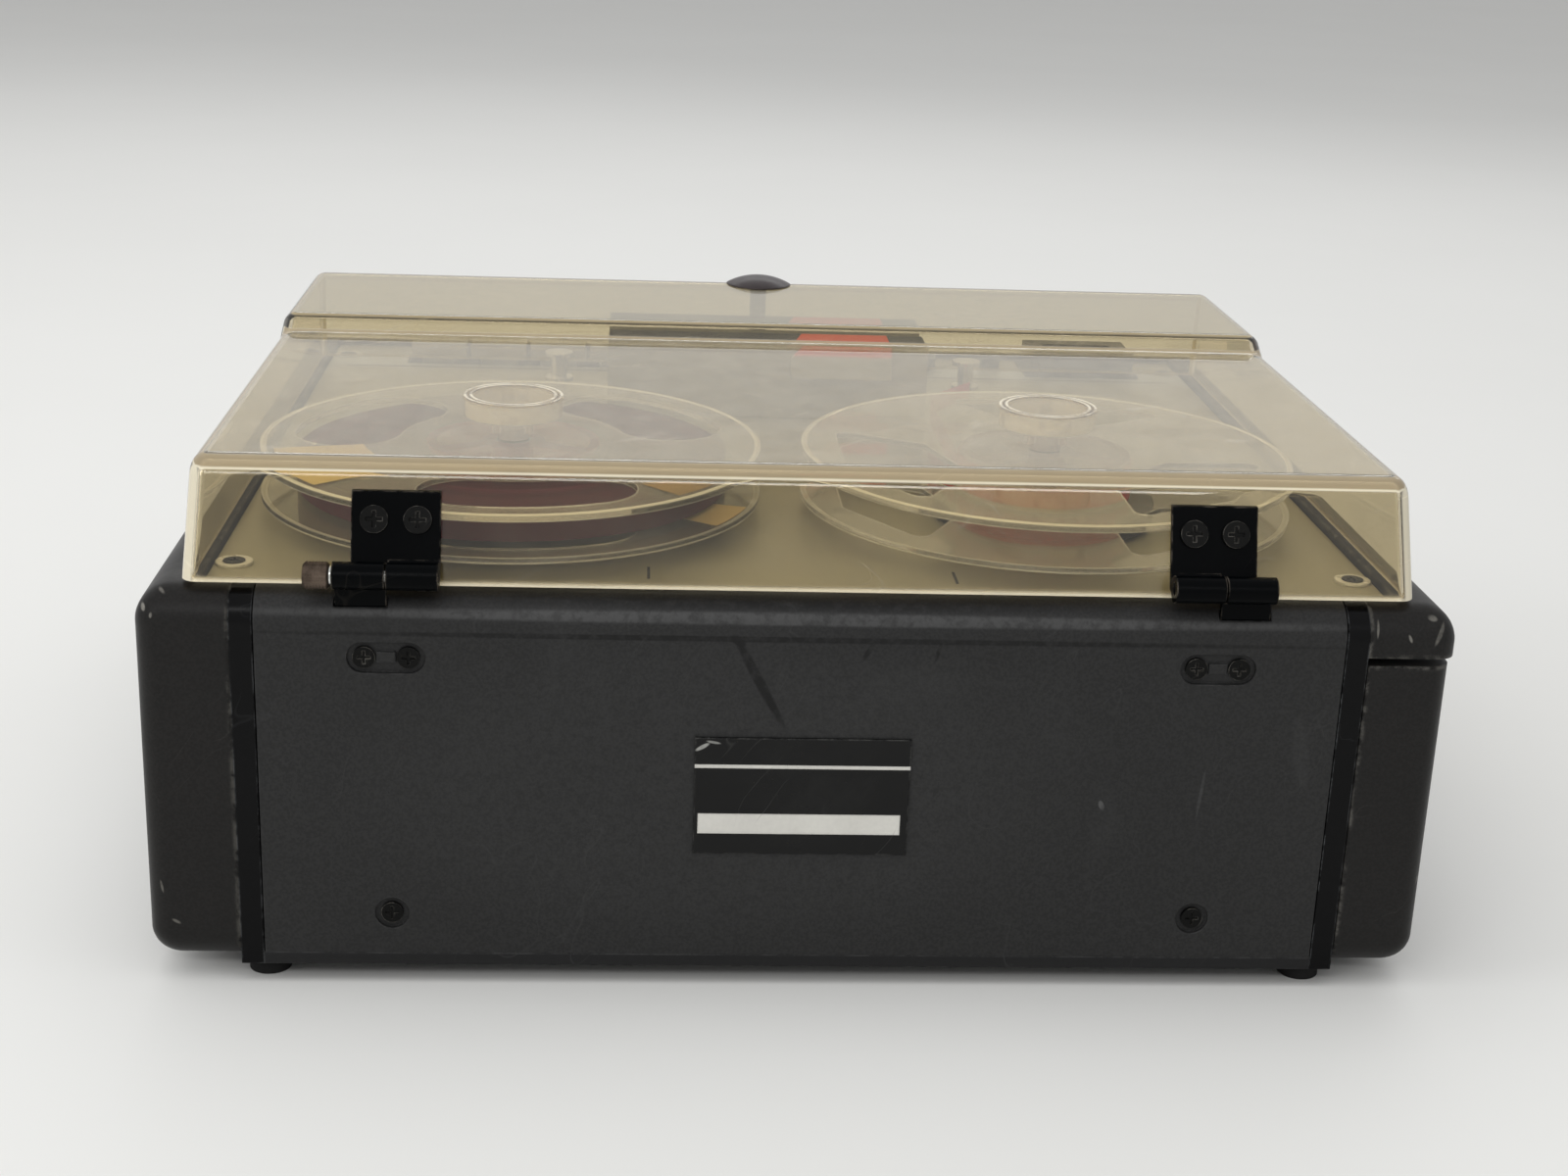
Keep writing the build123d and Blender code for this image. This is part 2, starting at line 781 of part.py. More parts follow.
def lid_shell():
    """Clear lid with a raised front, rings over the reel spindles, and holes for the hinge
    screws and the catch.
    """
    shell = lid_block(lid_bottom, 0) - lid_block(lid_bottom - 2 * lid_wall, lid_wall)
    for place in lid_screw_places():
        shell -= place * lid_screw_hole()
    for x in (supply_x, takeup_x):
        y = y_at(reel_setback)
        low = lid_inside_top - lid_ring_depth
        ring = post(x, y, low, lid_inside_top, lid_ring_radius)
        ring -= post(x, y, low - 1, lid_inside_top + 1, lid_ring_radius - lid_ring_wall)
        shell += ring
    top = lid_bottom + lid_height_front
    return shell - post(catch_x, y_at(catch_setback), top - 2 * lid_wall, top + 1,
                        catch_stem_radius + running_gap)


def knuckle(x0, x1):
    """Barrel piece of a hinge with its bore."""
    barrel = rod_x(x0, x1, back_y, hinge_level, knuckle_radius)
    return barrel - rod_x(min(x0, x1) - 1, max(x0, x1) + 1, back_y, hinge_level,
                          hinge_pin_radius + running_gap)


def lid_hinge_leaves():
    """Leaves on the lid's back wall, each with the inner knuckle of its hinge."""
    slope = lid_back_lean / lid_back_rise
    angle = math.atan(slope)
    skin = hinge_leaf_sheet / math.cos(angle)
    root = hinge_level - lid_bottom
    foot = root + leaf_foot_lift

    def wall(rise):
        return lid_back_setback + slope * rise

    def leaf(side):
        inner = side * hinge_inner_x
        outer = side * (hinge_inner_x + hinge_leaf_width)
        split = side * (hinge_inner_x + knuckle_length)
        tip = foot + hinge_leaf_rise - knuckle_radius
        points = [(wall(foot), foot), (wall(foot) - skin, foot), (wall(tip) - skin, tip), (wall(tip), tip)]
        face = make_face(Polyline([(y_at(s), lid_bottom + r) for s, r in points], close=True))
        plate = extrude_x(face, inner, outer)
        low = root - leaf_foot_lift
        web_points = [(0, low), (wall(low), low), (wall(foot + 1), foot + 1),
                      (wall(foot + 1) - skin, foot + 1)]
        web = make_face(Polyline([(y_at(s), lid_bottom + r) for s, r in web_points], close=True))
        bored = extrude_x(web, inner, split)
        bored -= rod_x(inner - side, split + side, back_y, hinge_level, hinge_pin_radius + running_gap)
        for place in lid_screw_places():
            plate -= place * lid_screw_hole()
        return plate + bored + knuckle(inner, split)
    return both_sides(leaf)


def lid_screw_places():
    """Place of each lid hinge screw: on the leaf's outer face, with Z pointing out of it."""
    slope = lid_back_lean / lid_back_rise
    tilt = math.degrees(math.atan(slope))
    rise = hinge_level - lid_bottom + leaf_screw_rise
    surface = lid_back_setback + slope * rise
    places = []
    for side in (1, -1):
        for step in (leaf_screw_inset, hinge_leaf_width - leaf_screw_inset):
            place = Pos(side * (hinge_inner_x + step), y_at(surface), lid_bottom + rise)
            places.append(place * Rot(-90 + tilt, 0, 0) * Pos(0, 0, hinge_leaf_sheet))
    return places


def lid_screw_hole():
    """What a lid hinge screw's shank needs, through the leaf and the lid's wall."""
    depth = 2 * (hinge_leaf_sheet + lid_wall)
    return Cylinder(screw_shank_radius + running_gap, depth)


def lid_screws():
    """Screws that hold the leaves to the lid's back wall."""
    length = hinge_leaf_sheet + lid_wall
    return [place * phillips_screw(leaf_screw_radius, leaf_screw_height, length)
            for place in lid_screw_places()]


def case_hinge_leaves():
    """Leaves that drop inside the rear panel, each with the outer knuckle of its hinge."""
    def leaf(side):
        inner = side * (hinge_inner_x + knuckle_length + knuckle_gap)
        outer = side * (hinge_inner_x + 2 * knuckle_length + knuckle_gap)
        bottom = hinge_level - knuckle_radius - case_leaf_drop
        y0, y1 = y_at(panel_sheet), y_at(panel_sheet + case_leaf_sheet)
        tab = block(inner, outer, y0, y1, bottom, hinge_level)
        tab -= rod_x(inner - side, outer + side, back_y, hinge_level, hinge_pin_radius + running_gap)
        tab += block(side * hinge_inner_x, outer, y0, y1, bottom, case_top - case_leaf_top)
        for x, z in rear_screw_places():
            tab -= rod_y(x, y1 - 1, y0 + 1, z, screw_shank_radius + running_gap)
        return tab + knuckle(inner, outer)
    return both_sides(leaf)


def fixed_hinge_pin():
    """Plain pin of the left hinge, held in the case knuckle."""
    return rod_x(-hinge_inner_x - knuckle_gap, -hinge_inner_x - 2 * knuckle_length, back_y,
                 hinge_level, hinge_pin_radius)


def hinge_pin():
    """Pin of the right hinge, pulled out by its grooved knob."""
    end = hinge_inner_x + 2 * knuckle_length + knuckle_gap
    pin = rod_x(hinge_inner_x + knuckle_gap, end + knuckle_gap, back_y, hinge_level, hinge_pin_radius)
    collar_end = end + knuckle_gap / 2 + pin_collar_length
    pin += rod_x(end + knuckle_gap / 2, collar_end, back_y, hinge_level, pin_collar_radius)
    knob = rod_x(collar_end, collar_end + pin_knob_length, back_y, hinge_level, pin_knob_radius)
    for index in range(pin_groove_count):
        angle = 2 * math.pi * index / pin_groove_count
        y = back_y + pin_knob_radius * math.cos(angle)
        z = hinge_level + pin_knob_radius * math.sin(angle)
        knob -= rod_x(collar_end + pin_groove_inset, collar_end + pin_knob_length - pin_groove_inset, y, z,
                      pin_groove_radius)
    return pin + knob


def lid_catch():
    """Domed turn knob in the lid with a stem and a bar that turns under the catch lips."""
    top = lid_bottom + lid_height_front
    y = y_at(catch_setback)
    ball = (catch_knob_radius ** 2 + catch_knob_height ** 2) / (2 * catch_knob_height)
    dome = Pos(catch_x, y, top + catch_knob_height + slide_gap / 2 - ball) * Sphere(ball)
    dome &= post(catch_x, y, top + slide_gap / 2, top + 2 * catch_knob_height, catch_knob_radius)
    bar_level = deck_top + catch_bar_level
    half = catch_bar_length / 2
    stem = post(catch_x, y, bar_level, top + 1, catch_stem_radius)
    bar = block(catch_x - catch_bar_width / 2, catch_x + catch_bar_width / 2, y - half, y + half,
                bar_level, bar_level + catch_bar_height)
    return dome + stem + bar


def catch_bracket():
    """Two posts on the deck with lips that the catch bar turns under."""
    y0 = y_at(catch_setback) - catch_post_width / 2
    y1 = y0 + catch_post_width
    lip_bottom = deck_top + catch_bar_level + catch_bar_height + slide_gap
    post_inner = catch_bar_length / 2 + 2 * slide_gap

    def hook(side):
        inner = catch_x + side * post_inner
        upright = block(inner, inner + side * catch_post_sheet, y0, y1, deck_top,
                        lip_bottom + catch_lip_sheet)
        lip = block(catch_x + side * catch_lip_inner, inner, y0, y1, lip_bottom,
                    lip_bottom + catch_lip_sheet)
        return upright + lip
    return both_sides(hook)


# ---------------------------------------------------------------- reels and tape
def reel_table(x):
    """Turntable with its spindle above and its shaft below."""
    y = y_at(reel_setback)
    table = post(x, y, deck_top + table_gap, reel_bottom, table_radius)
    table += post(x, y, table_shaft_end, deck_top + table_gap + 1, table_shaft_radius)
    table += post(x, y, reel_bottom - 1, spindle_top, spindle_radius)
    return table


def reel_hub(x):
    """Hub ring joined to its boss by spokes."""
    y = y_at(reel_setback)
    hub = post(x, y, reel_hub_bottom, reel_hub_top, reel_hub_radius)
    hub -= post(x, y, reel_hub_bottom - 1, reel_hub_top + 1, reel_hub_radius - reel_hub_wall)
    middle = (reel_hub_bottom + reel_hub_top) / 2
    reach = reel_hub_radius - reel_hub_wall / 2
    for index in range(window_count):
        spoke = Pos(reach / 2, 0, 0) * Box(reach, reel_spoke_width, reel_inner_width)
        hub += Pos(x, y, middle) * Rot(0, 0, 360 / window_count * index + spoke_turn_angle) * spoke
    hub += post(x, y, reel_hub_bottom, reel_hub_top, reel_boss_radius)
    return hub - post(x, y, reel_hub_bottom - 1, reel_hub_top + 1, reel_bore_radius)


def kidney_window(depth):
    """Curved window with round ends, centred on +X."""
    middle = (window_inner_radius + window_outer_radius) / 2
    half = (window_outer_radius - window_inner_radius) / 2
    sweep = kidney_sweep - 2 * math.degrees(half / middle)
    ring = Cylinder(window_outer_radius, depth) - Cylinder(window_inner_radius, depth + 1)
    far = 2 * window_outer_radius
    tilt = math.radians(sweep / 2)
    wedge = Polygon((0, 0), (far * math.cos(tilt), -far * math.sin(tilt)),
                    (far * math.cos(tilt), far * math.sin(tilt)), align=None)
    window = ring & (Pos(0, 0, -depth / 2) * extrude(wedge, amount=depth))
    for end in (-1, 1):
        window += Rot(0, 0, end * sweep / 2) * Pos(middle, 0, 0) * Cylinder(half, depth)
    return window


def straight_window(depth):
    """Straight-sided window, wide at the rim, centred on +X."""
    tilt = math.radians(frosted_sweep / 2)
    far_x = window_outer_radius * math.cos(tilt)
    far_y = window_outer_radius * math.sin(tilt)
    near_y = window_inner_radius * math.tan(tilt) * 0.62
    points = [(window_inner_radius, -near_y), (far_x, -far_y), (window_outer_radius, 0),
              (far_x, far_y), (window_inner_radius, near_y)]
    face = make_face(FilletPolyline(*points, radius=3, close=True))
    return Pos(0, 0, -depth / 2) * extrude(face, amount=depth)


def reel_flanges(x, window, turn):
    """Lower and upper flange of a reel, each with its bore and windows."""
    y = y_at(reel_setback)
    solids = []
    for bottom in (reel_bottom, reel_hub_top):
        flange = post(x, y, bottom, bottom + reel_flange_sheet, reel_radius)
        flange -= post(x, y, bottom - 1, bottom + reel_flange_sheet + 1, reel_bore_radius)
        for index in range(window_count):
            spin = 360 / window_count * index + turn
            flange -= Pos(x, y, bottom + reel_flange_sheet / 2) * Rot(0, 0, spin) * window
        solids.append(flange)
    return solids


def supply_flanges():
    """Frosted flanges of the empty supply reel."""
    return reel_flanges(supply_x, straight_window(2 * reel_flange_sheet), supply_window_turn)


def takeup_flanges():
    """Clear flanges of the full take-up reel."""
    return reel_flanges(takeup_x, kidney_window(2 * reel_flange_sheet), takeup_window_turn)


def tape_ring(x, inner, outer):
    """Tape wound between two radii on a reel."""
    y = y_at(reel_setback)
    ring = post(x, y, tape_bottom, tape_bottom + tape_width, outer)
    return ring - post(x, y, tape_bottom - 1, tape_bottom + tape_width + 1, inner)


def tape_pack():
    """Tape wound on the take-up reel."""
    return tape_ring(takeup_x, reel_hub_radius, tape_pack_radius)


def leader_wrap():
    """Leader tape wound on the supply hub."""
    return tape_ring(supply_x, reel_hub_radius, reel_hub_radius + leader_build)


def leader_tail():
    """Loose end of the leader, running forward between the flanges and curling aside."""
    start_x = supply_x + reel_hub_radius + leader_build + slide_gap + leader_sheet / 2
    y = y_at(reel_setback)
    with BuildLine() as path:
        FilletPolyline((start_x, y), (start_x, y - tail_run),
                       (start_x - tail_swing, y - tail_run - tail_bend), radius=tail_run / 2)
    strip = trace(path.line, line_width=leader_sheet)
    return Pos(0, 0, tape_bottom) * extrude(strip, amount=tape_width)


# ---------------------------------------------------------------- mechanism under the deck
def chassis_plate():
    """Mechanism plate on pillars, with the reel and capstan bearings and the thrust bridge."""
    plate = block(-chassis_half_width, chassis_half_width, y_at(chassis_back_setback),
                  y_at(chassis_front_setback), chassis_bottom, chassis_top)
    for x in (pillar_inner_x, pillar_outer_x):
        for setback in pillar_setbacks:
            plate += post(x, y_at(setback), base_top, chassis_bottom, pillar_radius)
    for x in (-pillar_outer_x, pillar_outer_x):
        for setback in spacer_setbacks:
            plate += post(x, y_at(setback), chassis_top, deck_bottom, pillar_radius)
    for x in (supply_x, takeup_x):
        plate += post(x, y_at(reel_setback), chassis_bottom - bearing_drop, chassis_bottom,
                      bearing_radius)
        plate -= post(x, y_at(reel_setback), chassis_bottom - bearing_drop - 1, chassis_top + 1,
                      table_shaft_radius + running_gap)
    y = y_at(capstan_setback)
    bearing_bottom = flywheel_bottom + flywheel_height + 2
    plate += post(capstan_x, y, bearing_bottom, deck_bottom, bearing_radius)
    plate -= post(capstan_x, y, bearing_bottom - 1, deck_bottom + 1, capstan_radius + running_gap)
    reach = flywheel_radius + thrust_post_gap
    for side in (1, -1):
        plate += post(capstan_x, y + side * reach, thrust_level, chassis_bottom, thrust_post_radius)
    half = capstan_radius + thrust_post_radius
    plate += block(capstan_x - half, capstan_x + half, y - reach - thrust_post_radius,
                   y + reach + thrust_post_radius, thrust_level - thrust_sheet, thrust_level)
    return plate


def flywheel():
    """Flywheel pressed on the capstan shaft."""
    y = y_at(capstan_setback)
    wheel = post(capstan_x, y, flywheel_bottom, flywheel_bottom + flywheel_height, flywheel_radius)
    groove = flywheel_height / 3
    for level in (flywheel_bottom - 1, flywheel_bottom + flywheel_height - groove + 1):
        ring = post(capstan_x, y, level, level + groove, flywheel_radius * 0.8)
        ring -= post(capstan_x, y, level - 1, level + groove + 1, flywheel_radius * 0.3)
        wheel -= ring
    return wheel + post(capstan_x, y, thrust_level + slide_gap, capstan_top, capstan_radius)


def motor():
    """Motor can standing on the base, with a neck for its shaft bearing."""
    y = y_at(motor_setback)
    neck = motor_radius * 0.35
    can = post(motor_x, y, base_top, base_top + motor_height, motor_radius)
    can = chamfer(can.edges().group_by(Axis.Z)[-1], 1.5)
    can += post(motor_x, y, base_top + motor_height - 1, base_top + motor_height + 2, neck)
    return can - post(motor_x, y, base_top + motor_height - 8, base_top + motor_height + 3,
                      motor_shaft_radius + running_gap)


def belt_level():
    """Bottom of the belt, on the middle of the flywheel's rim."""
    return flywheel_bottom + (flywheel_height - belt_width) / 2


def motor_pulley():
    """Pulley with flanges on the motor shaft."""
    y = y_at(motor_setback)
    bottom = belt_level() - pulley_flange_sheet - slide_gap
    top = belt_level() + belt_width + pulley_flange_sheet + slide_gap
    pulley = post(motor_x, y, bottom, top, pulley_radius)
    for level in (bottom, top - pulley_flange_sheet):
        pulley += post(motor_x, y, level, level + pulley_flange_sheet, pulley_flange_radius)
    return pulley + post(motor_x, y, base_top + motor_height - 6, top + 2, motor_shaft_radius)


def drive_belt():
    """Flat belt from the motor pulley round the flywheel."""
    def band(extra):
        wheel = Pos(capstan_x, y_at(capstan_setback)) * Circle(flywheel_radius + extra)
        pulley = Pos(motor_x, y_at(motor_setback)) * Circle(pulley_radius + extra)
        return make_hull(wheel.edges() + pulley.edges())
    ring = band(belt_gap + belt_sheet) - band(belt_gap)
    return Pos(0, 0, belt_level()) * extrude(ring, amount=belt_width)


def circuit_board():
    """Amplifier board on standoffs with its cans, chips and a transformer."""
    y0, y1 = y_at(board_setbacks[0]), y_at(board_setbacks[1])
    level = base_top + board_standoff
    board = block(board_xs[0], board_xs[1], y0, y1, level, level + board_sheet)
    inset = 2 * standoff_radius
    for x in (board_xs[0] + inset, board_xs[1] - inset):
        for y in (y0 - inset, y1 + inset):
            board += post(x, y, base_top, level, standoff_radius)
    top = level + board_sheet
    for index in range(can_count):
        x = board_xs[0] + can_inset + index * can_pitch
        board += post(x, y0 - can_row, top, top + can_height, can_radius)
    chip_width, chip_depth, chip_height = chip_size
    for index in range(chip_count):
        x = board_xs[0] + chip_inset + index * chip_pitch
        board += block(x, x + chip_width, y0 - chip_row - chip_depth, y0 - chip_row, top,
                       top + chip_height)
        board += post(x + chip_width / 2, y0 - small_can_row, top, top + small_can_height,
                      can_radius / 2)
    core_x, core_y = board_xs[1] - core_insets[0], y1 + core_insets[1]
    return board + block(core_x - core_size[0], core_x, core_y, core_y + core_size[1], top,
                         top + core_size[2])


def speaker():
    """Loudspeaker behind the grille, cone facing out."""
    front = half_width - cap_wall
    rim = front - speaker_basket_rim
    throat = rim - speaker_cone_depth
    back = throat - magnet_depth
    cone = speaker_radius - 3.5
    points = [(0, back), (magnet_radius, back), (magnet_radius, throat), (speaker_radius, rim),
              (speaker_radius, front), (cone, front), (magnet_radius * 0.7, throat + 3), (0, throat + 3)]
    face = make_face(Polyline([(r, x) for r, x in points], close=True))
    turned = revolve(Plane.XZ * face, Axis.Z, 360)
    return Pos(0, y_at(speaker_setback), speaker_level) * Rot(0, 90, 0) * turned


# ---------------------------------------------------------------- head block
def heads():
    """Erase, record and playback heads on their base plate."""
    back = tape_line_setback - head_depth
    base = block(cover_left_x + 3, cover_right_x - 16, y_at(cover_back_setback + 3),
                 y_at(back + head_depth - head_nose), deck_top, deck_top + head_base_sheet)
    solids = [base]
    bottom = deck_top + head_base_sheet
    for x in head_xs:
        body = block(x - head_width / 2, x + head_width / 2, y_at(back),
                     y_at(tape_line_setback - head_nose), bottom, bottom + head_height)
        rounding = (head_width ** 2 / 4 + head_nose ** 2) / (2 * head_nose)
        nose = post(x, y_at(tape_line_setback - rounding), bottom, bottom + head_height, rounding)
        nose &= block(x - head_width / 2, x + head_width / 2, y_at(back + head_nose),
                      y_at(tape_line_setback), bottom, bottom + head_height)
        solids.append(body + nose)
    return solids


def tape_guides():
    """Flanged guide posts at both ends of the head block."""
    solids = []
    for x in guide_xs:
        y = y_at(tape_line_setback - guide_radius)
        top = tape_bottom + tape_width
        guide = post(x, y, deck_top, top + guide_flange_sheet, guide_radius)
        guide += post(x, y, tape_bottom - guide_flange_sheet, tape_bottom, guide_flange_radius)
        guide += post(x, y, top, top + guide_flange_sheet, guide_flange_radius)
        solids.append(guide)
    return solids


def head_cover():
    """Cover in two pieces, behind and in front of the tape slot."""
    solids = []
    spans = [(cover_back_setback, cover_slot_setbacks[0]), (cover_slot_setbacks[1], cover_front_setback)]
    for index, (behind, before) in enumerate(spans):
        shell = block(cover_left_x, cover_right_x, y_at(behind), y_at(before), deck_top, cover_top)
        inner_back = behind + cover_wall if index == 0 else behind - 1
        inner_front = before + 1 if index == 0 else before - cover_wall
        shell -= block(cover_left_x + cover_wall, cover_right_x - cover_wall, y_at(inner_back),
                       y_at(inner_front), deck_top - 1, cover_top - cover_wall)
        solids.append(shell)
    return solids


def cover_accent():
    """Coloured wedge on the back of the head cover."""
    back = y_at(cover_back_setback)
    low = cover_top - 2.5 * accent_height
    points = [(back, low), (back + accent_height, low), (back, cover_top)]
    face = make_face(Polyline(points, close=True))
    corner = Rot(0, 45, 0) * Box(accent_slant * math.sqrt(2), 3 * accent_height, accent_slant * math.sqrt(2))
    return extrude_x(face, accent_xs[0], accent_xs[1]) - Pos(accent_xs[1], back, cover_top) * corner


def pinch_level():
    """Bottom of the pinch roller, centred on the tape."""
    return tape_middle - pinch_roller_height / 2


def pinch_arm():
    """Arm with its pivot and the pin that carries the pinch roller."""
    y = y_at(pinch_rest_setback)
    roller_x = pinch_pivot_x + pinch_arm_length
    top = pinch_level() - slide_gap
    bottom = top - pinch_arm_sheet
    arm = Pos((pinch_pivot_x + roller_x) / 2, y, bottom) * extrude(
        SlotOverall(pinch_arm_length + pinch_arm_width, pinch_arm_width), amount=pinch_arm_sheet)
    arm += post(pinch_pivot_x, y, bottom, top + 2, pinch_arm_width / 2)
    arm += post(pinch_pivot_x, y, deck_bottom, bottom, pinch_pivot_radius)
    return arm + post(roller_x, y, bottom, pinch_level() + pinch_roller_height + 1, pinch_core_radius)


def pinch_roller():
    """Rubber roller that presses the tape to the capstan."""
    y = y_at(pinch_rest_setback)
    x = pinch_pivot_x + pinch_arm_length
    roller = post(x, y, pinch_level(), pinch_level() + pinch_roller_height, pinch_roller_radius)
    return roller - post(x, y, pinch_level() - 1, pinch_level() + pinch_roller_height + 1,
                         pinch_core_radius + running_gap)


# ---------------------------------------------------------------- keys and controls
def key_x(index):
    """Middle of a transport key."""
    return key_first_x + key_pitch * index


def key(index):
    """Piano key with the boss that turns on the key shaft."""
    x = key_x(index)
    x0, x1 = x - key_width / 2, x + key_width / 2
    back, front = y_at(key_back_setback), y_at(key_front_setback)
    pad = block(x0, x1, back, front, key_pad_bottom, key_pad_top)
    crown = pad.edges().filter_by(Axis.X).group_by(Axis.Z)[-1]
    pad = fillet(crown, 2)
    shaft_y = y_at(key_shaft_setback)
    web = block(x - key_width / 3, x + key_width / 3, shaft_y + key_boss_radius * 0.6,
                shaft_y - key_boss_radius * 0.6, key_shaft_level, key_pad_bottom + 1)
    boss = rod_x(x0, x1, shaft_y, key_shaft_level, key_boss_radius)
    bored = pad + web + boss
    return bored - rod_x(x0 - 1, x1 + 1, shaft_y, key_shaft_level, key_shaft_radius + running_gap)


def key_rail():
    """Shaft of the keys between two cheeks that stand on the chassis."""
    first = key_x(0) - key_width / 2 - key_rail_gap
    last = key_x(len(key_names) - 1) + key_width / 2 + key_rail_gap
    y = y_at(key_shaft_setback)
    rail = rod_x(first - key_rail_sheet, last + key_rail_sheet, y, key_shaft_level, key_shaft_radius)
    for x0, x1 in ((first - key_rail_sheet, first), (last, last + key_rail_sheet)):
        rail += block(x0, x1, y - key_boss_radius, y + key_boss_radius, chassis_top, deck_bottom)
    return rail


def counter_middle():
    """X, Y and level of the counter's axle."""
    x = (counter_xs[0] + counter_xs[1]) / 2
    y = y_at((counter_setbacks[0] + counter_setbacks[1]) / 2)
    return x, y, deck_top + counter_rise - counter_wall - slide_gap - counter_drum_radius


def counter_case():
    """Counter housing with a window over the drums and bearings for their axle."""
    x, y, z = counter_middle()
    x0, x1 = counter_xs[0] + slide_gap, counter_xs[1] - slide_gap
    y0, y1 = y_at(counter_setbacks[0] + slide_gap), y_at(counter_setbacks[1] - slide_gap)
    top = deck_top + counter_rise
    case = block(x0, x1, y0, y1, counter_bottom, top)
    case += block(x0 - 2, x1 + 2, y0 + 2, y1 - 2, deck_top, deck_top + 1)
    case -= block(x0 + counter_wall, x1 - counter_wall, y0 - counter_wall, y1 + counter_wall,
                  counter_bottom + counter_wall, top - counter_wall)
    half = drum_span() / 2 + counter_drum_gap
    case -= block(x - half, x + half, y - counter_window_depth / 2, y + counter_window_depth / 2,
                  top - 2 * counter_wall, top + 1)
    return case - rod_x(x0 - 1, x1 + 1, y, z, counter_axle_radius + running_gap)


def drum_span():
    """Width of the three counter drums together."""
    return 3 * counter_drum_width + 2 * counter_drum_gap


def counter_drums():
    """Three number drums on their axle."""
    x, y, z = counter_middle()
    drums = rod_x(counter_xs[0] + slide_gap, counter_xs[1] - slide_gap, y, z, counter_axle_radius)
    for index in (-1, 0, 1):
        middle = x + index * (counter_drum_width + counter_drum_gap)
        drums += rod_x(middle - counter_drum_width / 2, middle + counter_drum_width / 2, y, z,
                       counter_drum_radius)
    return drums


def counter_reset():
    """Push button that clears the counter."""
    y = y_at(reset_setback)
    button = post(reset_x, y, reset_bottom, reset_top, reset_radius)
    return chamfer(button.edges().group_by(Axis.Z)[-1], 0.6)


def speed_selector():
    """Pointer knob for the tape speed, with its shaft through the deck."""
    y = y_at(selector_setback)
    bottom = deck_top + slide_gap
    knob = post(selector_x, y, bottom, bottom + selector_height * 0.4, selector_radius)
    grip = block(selector_x - selector_radius * 0.28, selector_x + selector_radius * 0.28,
                 y - selector_radius * 0.9, y + selector_radius * 0.9, bottom, bottom + selector_height)
    knob += fillet(grip.edges().group_by(Axis.Z)[-1], 1.2)
    return knob + post(selector_x, y, deck_bottom - selector_shaft_drop, bottom + 1,
                       selector_shaft_radius)


def level_knob(x):
    """Round fluted knob on the front panel with its shaft."""
    back = front_y - knob_gap
    knob = rod_y(x, back - knob_height, back, control_level, knob_radius)
    knob = chamfer(knob.edges().group_by(Axis.Y)[0], knob_chamfer)
    for index in range(knob_flute_count):
        angle = 2 * math.pi * index / knob_flute_count
        cut_x = x + knob_radius * math.cos(angle)
        cut_z = control_level + knob_radius * math.sin(angle)
        knob -= rod_y(cut_x, back - knob_height + knob_flute_insets[0], back - knob_flute_insets[1],
                      cut_z, knob_flute_radius)
    return knob + rod_y(x, back - 1, front_y + panel_sheet + knob_shaft_inside, control_level,
                        knob_shaft_radius)


def meter_case():
    """Meter housing with its bezel, open at the front and bored for the needle's pivot."""
    half_w, half_h = meter_width / 2, meter_height / 2
    bezel = block(meter_x - half_w, meter_x + half_w, front_y - meter_bezel, front_y,
                  control_level - half_h, control_level + half_h)
    body_w, body_h = half_w - meter_border + meter_wall, half_h - meter_border + meter_wall
    body = block(meter_x - body_w, meter_x + body_w, front_y - meter_bezel / 2,
                 front_y + meter_depth, control_level - body_h, control_level + body_h)
    open_w, open_h = half_w - meter_border, half_h - meter_border
    hollow = block(meter_x - open_w, meter_x + open_w, front_y - meter_bezel - 1,
                   front_y + meter_depth - meter_wall, control_level - open_h, control_level + open_h)
    pivot = rod_y(meter_x, front_y, front_y + meter_depth - meter_wall / 2, needle_pivot_level(),
                  needle_pin_radius + running_gap)
    return bezel + body - hollow - pivot


def meter_window():
    """Clear plate let into the meter bezel."""
    open_w, open_h = meter_width / 2 - meter_border, meter_height / 2 - meter_border
    return block(meter_x - open_w, meter_x + open_w, front_y - meter_glass, front_y,
                 control_level - open_h, control_level + open_h)


def needle_pivot_level():
    """Level of the needle's pivot, low in the meter."""
    return control_level - meter_height / 2 + meter_border + needle_hub_radius + 1


def meter_needle():
    """Needle leaning to the low end of its scale, with its pivot pin."""
    z = needle_pivot_level()
    y = front_y + needle_setback
    arm = Pos(0, 0, needle_length / 2) * Box(needle_width, needle_width, needle_length)
    needle = Pos(meter_x, y, z) * Rot(0, -needle_rest_angle, 0) * arm
    needle += rod_y(meter_x, y - needle_width / 2, y + 2, z, needle_hub_radius)
    return needle + rod_y(meter_x, y, front_y + meter_depth - meter_wall / 2, z, needle_pin_radius)


def sockets():
    """Two jack sockets and the power inlet, flanged on the front panel."""
    solids = []
    specs = [(x, jack_bore_radius, jack_bore_length) for x in jack_xs]
    specs.append((inlet_x, inlet_bore_radius, inlet_bore_length))
    for x, bore, length in specs:
        mouth = front_y - socket_flange_sheet
        socket = rod_y(x, mouth, front_y, control_level, jack_flange_radius)
        socket += rod_y(x, mouth, mouth + length + socket_end_wall, control_level,
                        jack_body_radius - running_gap)
        solids.append(socket - rod_y(x, mouth - 1, mouth + length, control_level, bore))
    return solids


# ---------------------------------------------------------------- handle
def handle_y():
    """Y of the handle's pivot axis."""
    return front_y - handle_standoff


